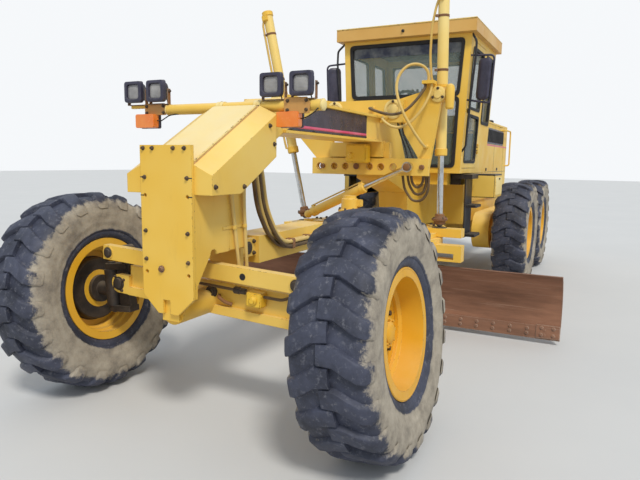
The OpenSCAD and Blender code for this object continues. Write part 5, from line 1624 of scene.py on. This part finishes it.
def make_console():
    """The console before the seat with the steering wheel, six levers and five dials."""
    column = Form()
    post = [(-3.645, CAB_FLOOR), (-3.745, CAB_FLOOR), (-3.800, 2.190), (-3.785, 2.225), (-3.655, 2.225)]
    column.plate(post, "y", -0.080, 0.080, 0.010)
    head = [(-3.640, 2.020), (-3.700, 2.010), (-3.760, 2.240), (-3.640, 2.260)]
    column.plate(head, "y", -0.168, 0.168, 0.010)
    column.done("console_column", "front", NAVY, replaces=["console"])
    make_steering_wheel()
    levers = []
    knobs = Form()
    for i in range(6):
        y = -0.145 + 0.058 * i
        levers.append([(-3.700, y, 2.240), (-3.710, y, 2.330 + 0.006 * (i % 2)), (-3.730, y, 2.400)])
        knobs.turned((-3.730, y, 2.395), UPWARD, [
            (0, 0.006), (0.006, 0.013), (0.022, 0.015), (0.034, 0.011), (0.038, 0)], 16)
    tubes("control_levers", levers, 0.004, "front", CHROME, sides=8)
    knobs.done("lever_knobs", "front", RUBBER)
    dials = Form(Matrix.Translation((-3.731, 0, 2.122)) @ Matrix.Rotation(math.radians(-75.5), 4, "Y"))
    for y in (-0.120, -0.060, 0.0, 0.060, 0.120):
        dials.turned((0.0, y, 0.0), UPWARD, [
            (0, 0.024), (0.006, 0.024), (0.008, 0.021), (0.004, 0.019), (0.004, 0)], 24)
    dials.done("console_dials", "front", LINING)


def make_cab_inside():
    """Lining of the cab's rear wall and ceiling, the floor's mat and the pedals."""
    lining = Form()
    lining.block((-4.800, -0.610, 1.535), (-4.788, 0.610, 1.975), 0.004)
    lining.block((-4.790, -0.655, 2.938), (-3.570, 0.655, 2.9585), 0.006)
    lining.block((-4.700, -0.350, 2.870), (-4.300, 0.350, 2.942), 0.020)
    lining.done("cab_lining", "front", LINING)
    mat = Form()
    mat.block((-4.780, -0.605, 1.5302), (-3.560, 0.605, 1.538), 0.002)
    mat.done("cab_floor_mat", "front", RUBBER)
    pedals = Form()
    for y in (-0.22, 0.14, 0.24):
        pedals.place = Matrix.Translation((-3.70, y, 1.60)) @ Matrix.Rotation(math.radians(-40), 4, "Y")
        pedals.block((-0.045, -0.032, 0), (0.045, 0.032, 0.010), 0.003)
        pedals.turned((0.02, 0, 0.002), (0, 0, -1), [(0, 0.008), (0.060, 0.008)], 10)
    pedals.done("cab_pedals", "front", BLACK)


def make_roof_trim():
    """The roof's lip and ribs, and the beacon on it."""
    trim = Form()
    trim.block((-4.893, -0.803, 3.084), (-3.404, 0.803, 3.0975), 0.004)
    trim.done("roof_top_lip", "front", CREAM)
    ribs = Form()
    ribs.block((-0.030, -0.60, 0), (0.030, 0.60, 0.010), 0.005)
    repeated("roof_ribs", ribs, 4, "front", CREAM, step=(-0.30, 0, 0),
             place=Matrix.Translation((-3.690, 0, 3.0945)))
    beacon_x, beacon_y = -4.200, 0.520
    beacon = Form()
    beacon.turned((beacon_x, beacon_y, 3.094), UPWARD, [
        (0, 0.062), (0.010, 0.062), (0.014, 0.052), (0.024, 0.050), (0.024, 0)])
    beacon.done("beacon_base", "front", BLACK)
    dome = Form()
    dome.turned((beacon_x, beacon_y, 3.116), UPWARD, [
        (0, 0.046), (0.040, 0.044), (0.060, 0.036), (0.072, 0.020), (0.076, 0.0)])
    dome.done("beacon_dome", "front", ORANGE)


def make_cab_rails():
    """A hand rail beside each door, the right one standing farther out, and the wiper under the roof."""
    rails = []
    for side, out in ((1, 0.055), (-1, 0.098)):
        place = cab_side(side)
        rails.append([place @ Vector(p) for p in (
            (-3.512, -0.004, 1.474), (-3.505, out * 0.9, 1.400), (-3.500, out, 1.250),
            (-3.500, out * 0.75, 0.800), (-3.505, 0.036, 0.290), (-3.515, -0.004, 0.240))])
    tubes("cab_grab_rails", rails, 0.012, "front", BLACK, bend=0.03)
    wiper = Form()
    wiper.turned((-3.408, 0.0, 3.020), FORWARD, [
        (0, 0.017), (0.008, 0.017), (0.012, 0.011), (0.018, 0.010), (0.018, 0)], 20)
    wiper.turned((-3.395, 0.0, 3.020), (-0.15, 0.105, -0.075), [(0, 0.006), (0.150, 0.005)], 8)
    wiper.done("windscreen_wiper", "front", RUBBER)


make_cab_seals()
make_doors()
make_mirrors()
make_seat()
make_console()
make_cab_inside()
make_roof_trim()
make_cab_rails()

# Steps and battery boxes beside the cab


def make_steps():
    """Covers, lids and latches of the battery boxes, and the cleats on the steps' treads."""
    boxes = Form()
    lids = Form()
    latches = Form()
    for _, side in SIDES:
        boxes.side_block(side, (-4.505, -4.045), (0.640, 0.956), (1.195, 1.462), 0.010)
        lids.side_plate(side, softened(oblong((-4.480, 1.225), (-4.070, 1.435)), 0.02), 0.954, 0.962, 0.003)
        latches.side_block(side, (-4.300, -4.250), (0.960, 0.972), (1.405, 1.425), 0.003)
    boxes.done("battery_box_covers", "front", YELLOW)
    lids.done("battery_box_lids", "front", CREAM)
    latches.done("battery_box_latches", "front", BLACK)
    for name, side in SIDES:
        middle = side * 0.770
        for level, z in (("low", 0.7951), ("high", 1.1251)):
            cleat = Form()
            cleat.block((0, middle - 0.055, 0), (0.012, middle + 0.055, 0.006), 0.001)
            repeated("step_tread_" + level + "_" + name, cleat, 11, "front", BLACK,
                     step=(0.025, 0, 0), place=Matrix.Translation((-3.931, 0, z)))


# Engine hood and rear end

HOOD_SIDE = 0.424
HOOD_SEAMS = (-5.90, -6.80, -7.62)
HOOD_LATCHES = (-6.20, -7.10, -5.50)
# Middle of the covers on the tandem cases
TANDEM_X = -6.086
TANDEM_Z = 0.694
TANDEM_SIDE = 0.719


def make_louvres():
    """A dark plate of painted shade behind the hood's louvres, and one louvre per side, repeated along the
    hood.
    """
    backing = Form()
    for _, side in SIDES:
        outline = softened(oblong((-7.545, 1.895), (-5.955, 2.135)), 0.02)
        # The dark plate behind the louvres is painted shade of the openings between them.
        backing.side_plate(side, outline, 0.4245, 0.4300, 0.001)
    backing.done("louvre_backing", "rear", PANEL)
    for name, side in SIDES:
        louvre = Form()
        y = side * 0.429
        outline = [(-0.004, y), (0.004, y + side * 0.016), (0.050, y + side * 0.024),
                   (0.064, y + side * 0.020), (0.064, y)]
        louvre.plate(outline, "z", 1.922, 2.108, 0.003)
        repeated("hood_louvres_" + name, louvre, 16, "rear", BLACK, step=(0.1, 0, 0),
                 place=Matrix.Translation((-7.500, 0, 0)))


def make_hood():
    """Stripes, panel seams, hand rails and latches along both sides of the hood."""
    stripes = Form()
    seams = Form()
    latches = Form()
    handles = []
    seam_depth = (0.4240, 0.4262)
    for _, side in SIDES:
        stripe = oblong((-7.940, 1.865), (-5.080, 1.885))
        stripes.side_plate(side, stripe, 0.4245, 0.4265, 0.0005)
        for x in HOOD_SEAMS:
            seams.side_plate(side, oblong((x - 0.003, 1.080), (x + 0.003, 2.20)), *seam_depth, 0)
        seams.side_plate(side, oblong((-7.940, 1.460), (-5.070, 1.466)), *seam_depth, 0)
        for x in HOOD_LATCHES:
            outline = softened(oblong((x - 0.035, 1.480), (x + 0.035, 1.525)), 0.01)
            latches.side_plate(side, outline, HOOD_SIDE, 0.434, 0.003)
        foot = side * HOOD_SIDE
        high_out, long_out = side * 0.500, side * 0.480
        handles.append([(-7.860, foot, 1.560), (-7.860, high_out, 1.560), (-7.860, high_out, 2.150),
                        (-7.460, high_out, 2.150), (-7.460, foot, 2.150)])
        handles.append([(-5.400, foot, 2.190), (-5.400, long_out, 2.190), (-7.200, long_out, 2.190),
                        (-7.200, foot, 2.190)])
    stripes.done("hood_pink_stripes", "rear", PINK)
    seams.done("hood_panel_seams", "rear", BLACK)
    tubes("hood_hand_rails", handles, 0.013, "rear", YELLOW, bend=0.06)
    latches.done("hood_latches", "rear", BLACK)


def make_stacks():
    """The exhaust pipe and the intake's cap on the hood."""
    hood_top = 2.2303
    pipe = Form()
    pipe.turned((-5.650, -0.250, hood_top), UPWARD, [
        (0, 0.078), (0.012, 0.078), (0.016, 0.058), (0.040, 0.053), (0.400, 0.053), (0.404, 0.0555),
        (0.418, 0.0555), (0.422, 0.051), (0.600, 0.051), (0.629, 0.054), (0.629, 0.048), (0.560, 0.046),
        (0.560, 0)], 40)
    pipe.turned((-7.100, 0.250, hood_top), UPWARD, [
        (0, 0.088), (0.008, 0.088), (0.010, 0.070), (0.030, 0.070), (0.034, 0.090), (0.060, 0.090),
        (0.074, 0.070), (0.079, 0.0)], 40)
    pipe.done("exhaust_and_cap", "rear", BLACK, replaces=["stacks"])


def make_rear_end():
    """Tail lamps, the bumper's bolts, and the covers on the tandem cases' inner sides."""
    lamps = Form()
    lenses = Form()
    for _, side in SIDES:
        low, high = sorted((side * 0.430, side * 0.545))
        lamps.block((-8.046, low, 0.960), (-8.038, high, 1.080), 0.003)
        lens = softened(oblong((low + 0.008, 0.968), (high - 0.008, 1.072)), 0.01)
        lenses.plate(lens, "x", -8.058, -8.044, 0.004)
    lamps.done("tail_lamp_backs", "rear", BLACK)
    lenses.done("tail_lamp_lenses", "rear", RED_LENS)
    places = [((-8.0402, y, z), BACKWARD) for y in (-0.36, -0.30, 0.30, 0.36) for z in (0.82, 0.90)]
    bolts("bumper_bolts", places, "rear", OLD_BOLT, 0.014, 0.011)
    # each cover: place along the machine, radius, sides, and the number of bolts and their radius
    covers = ((TANDEM_X, 0.150, 40, 10, 0.128), (-6.50, 0.070, 32, 6, 0.054), (-5.672, 0.070, 32, 6, 0.054))
    discs = Form()
    places = []
    for _, side in SIDES:
        for x, size, sides, count, radius in covers:
            chamfer = 0.010 if size > 0.1 else 0.008
            discs.turned((x, side * TANDEM_SIDE, TANDEM_Z), (0, side, 0), [
                (0, size), (0.006, size), (0.010, size - chamfer), (0.010, 0.0)], sides)
            places += [((x + radius * c, side * 0.7292, TANDEM_Z + radius * s), (0, side, 0))
                       for c, s in circle_steps(count)]
    discs.done("tandem_covers", "rear", YELLOW)
    bolts("tandem_cover_bolts", places, "rear", OLD_BOLT, 0.010)


make_steps()
make_louvres()
make_hood()
make_stacks()
make_rear_end()
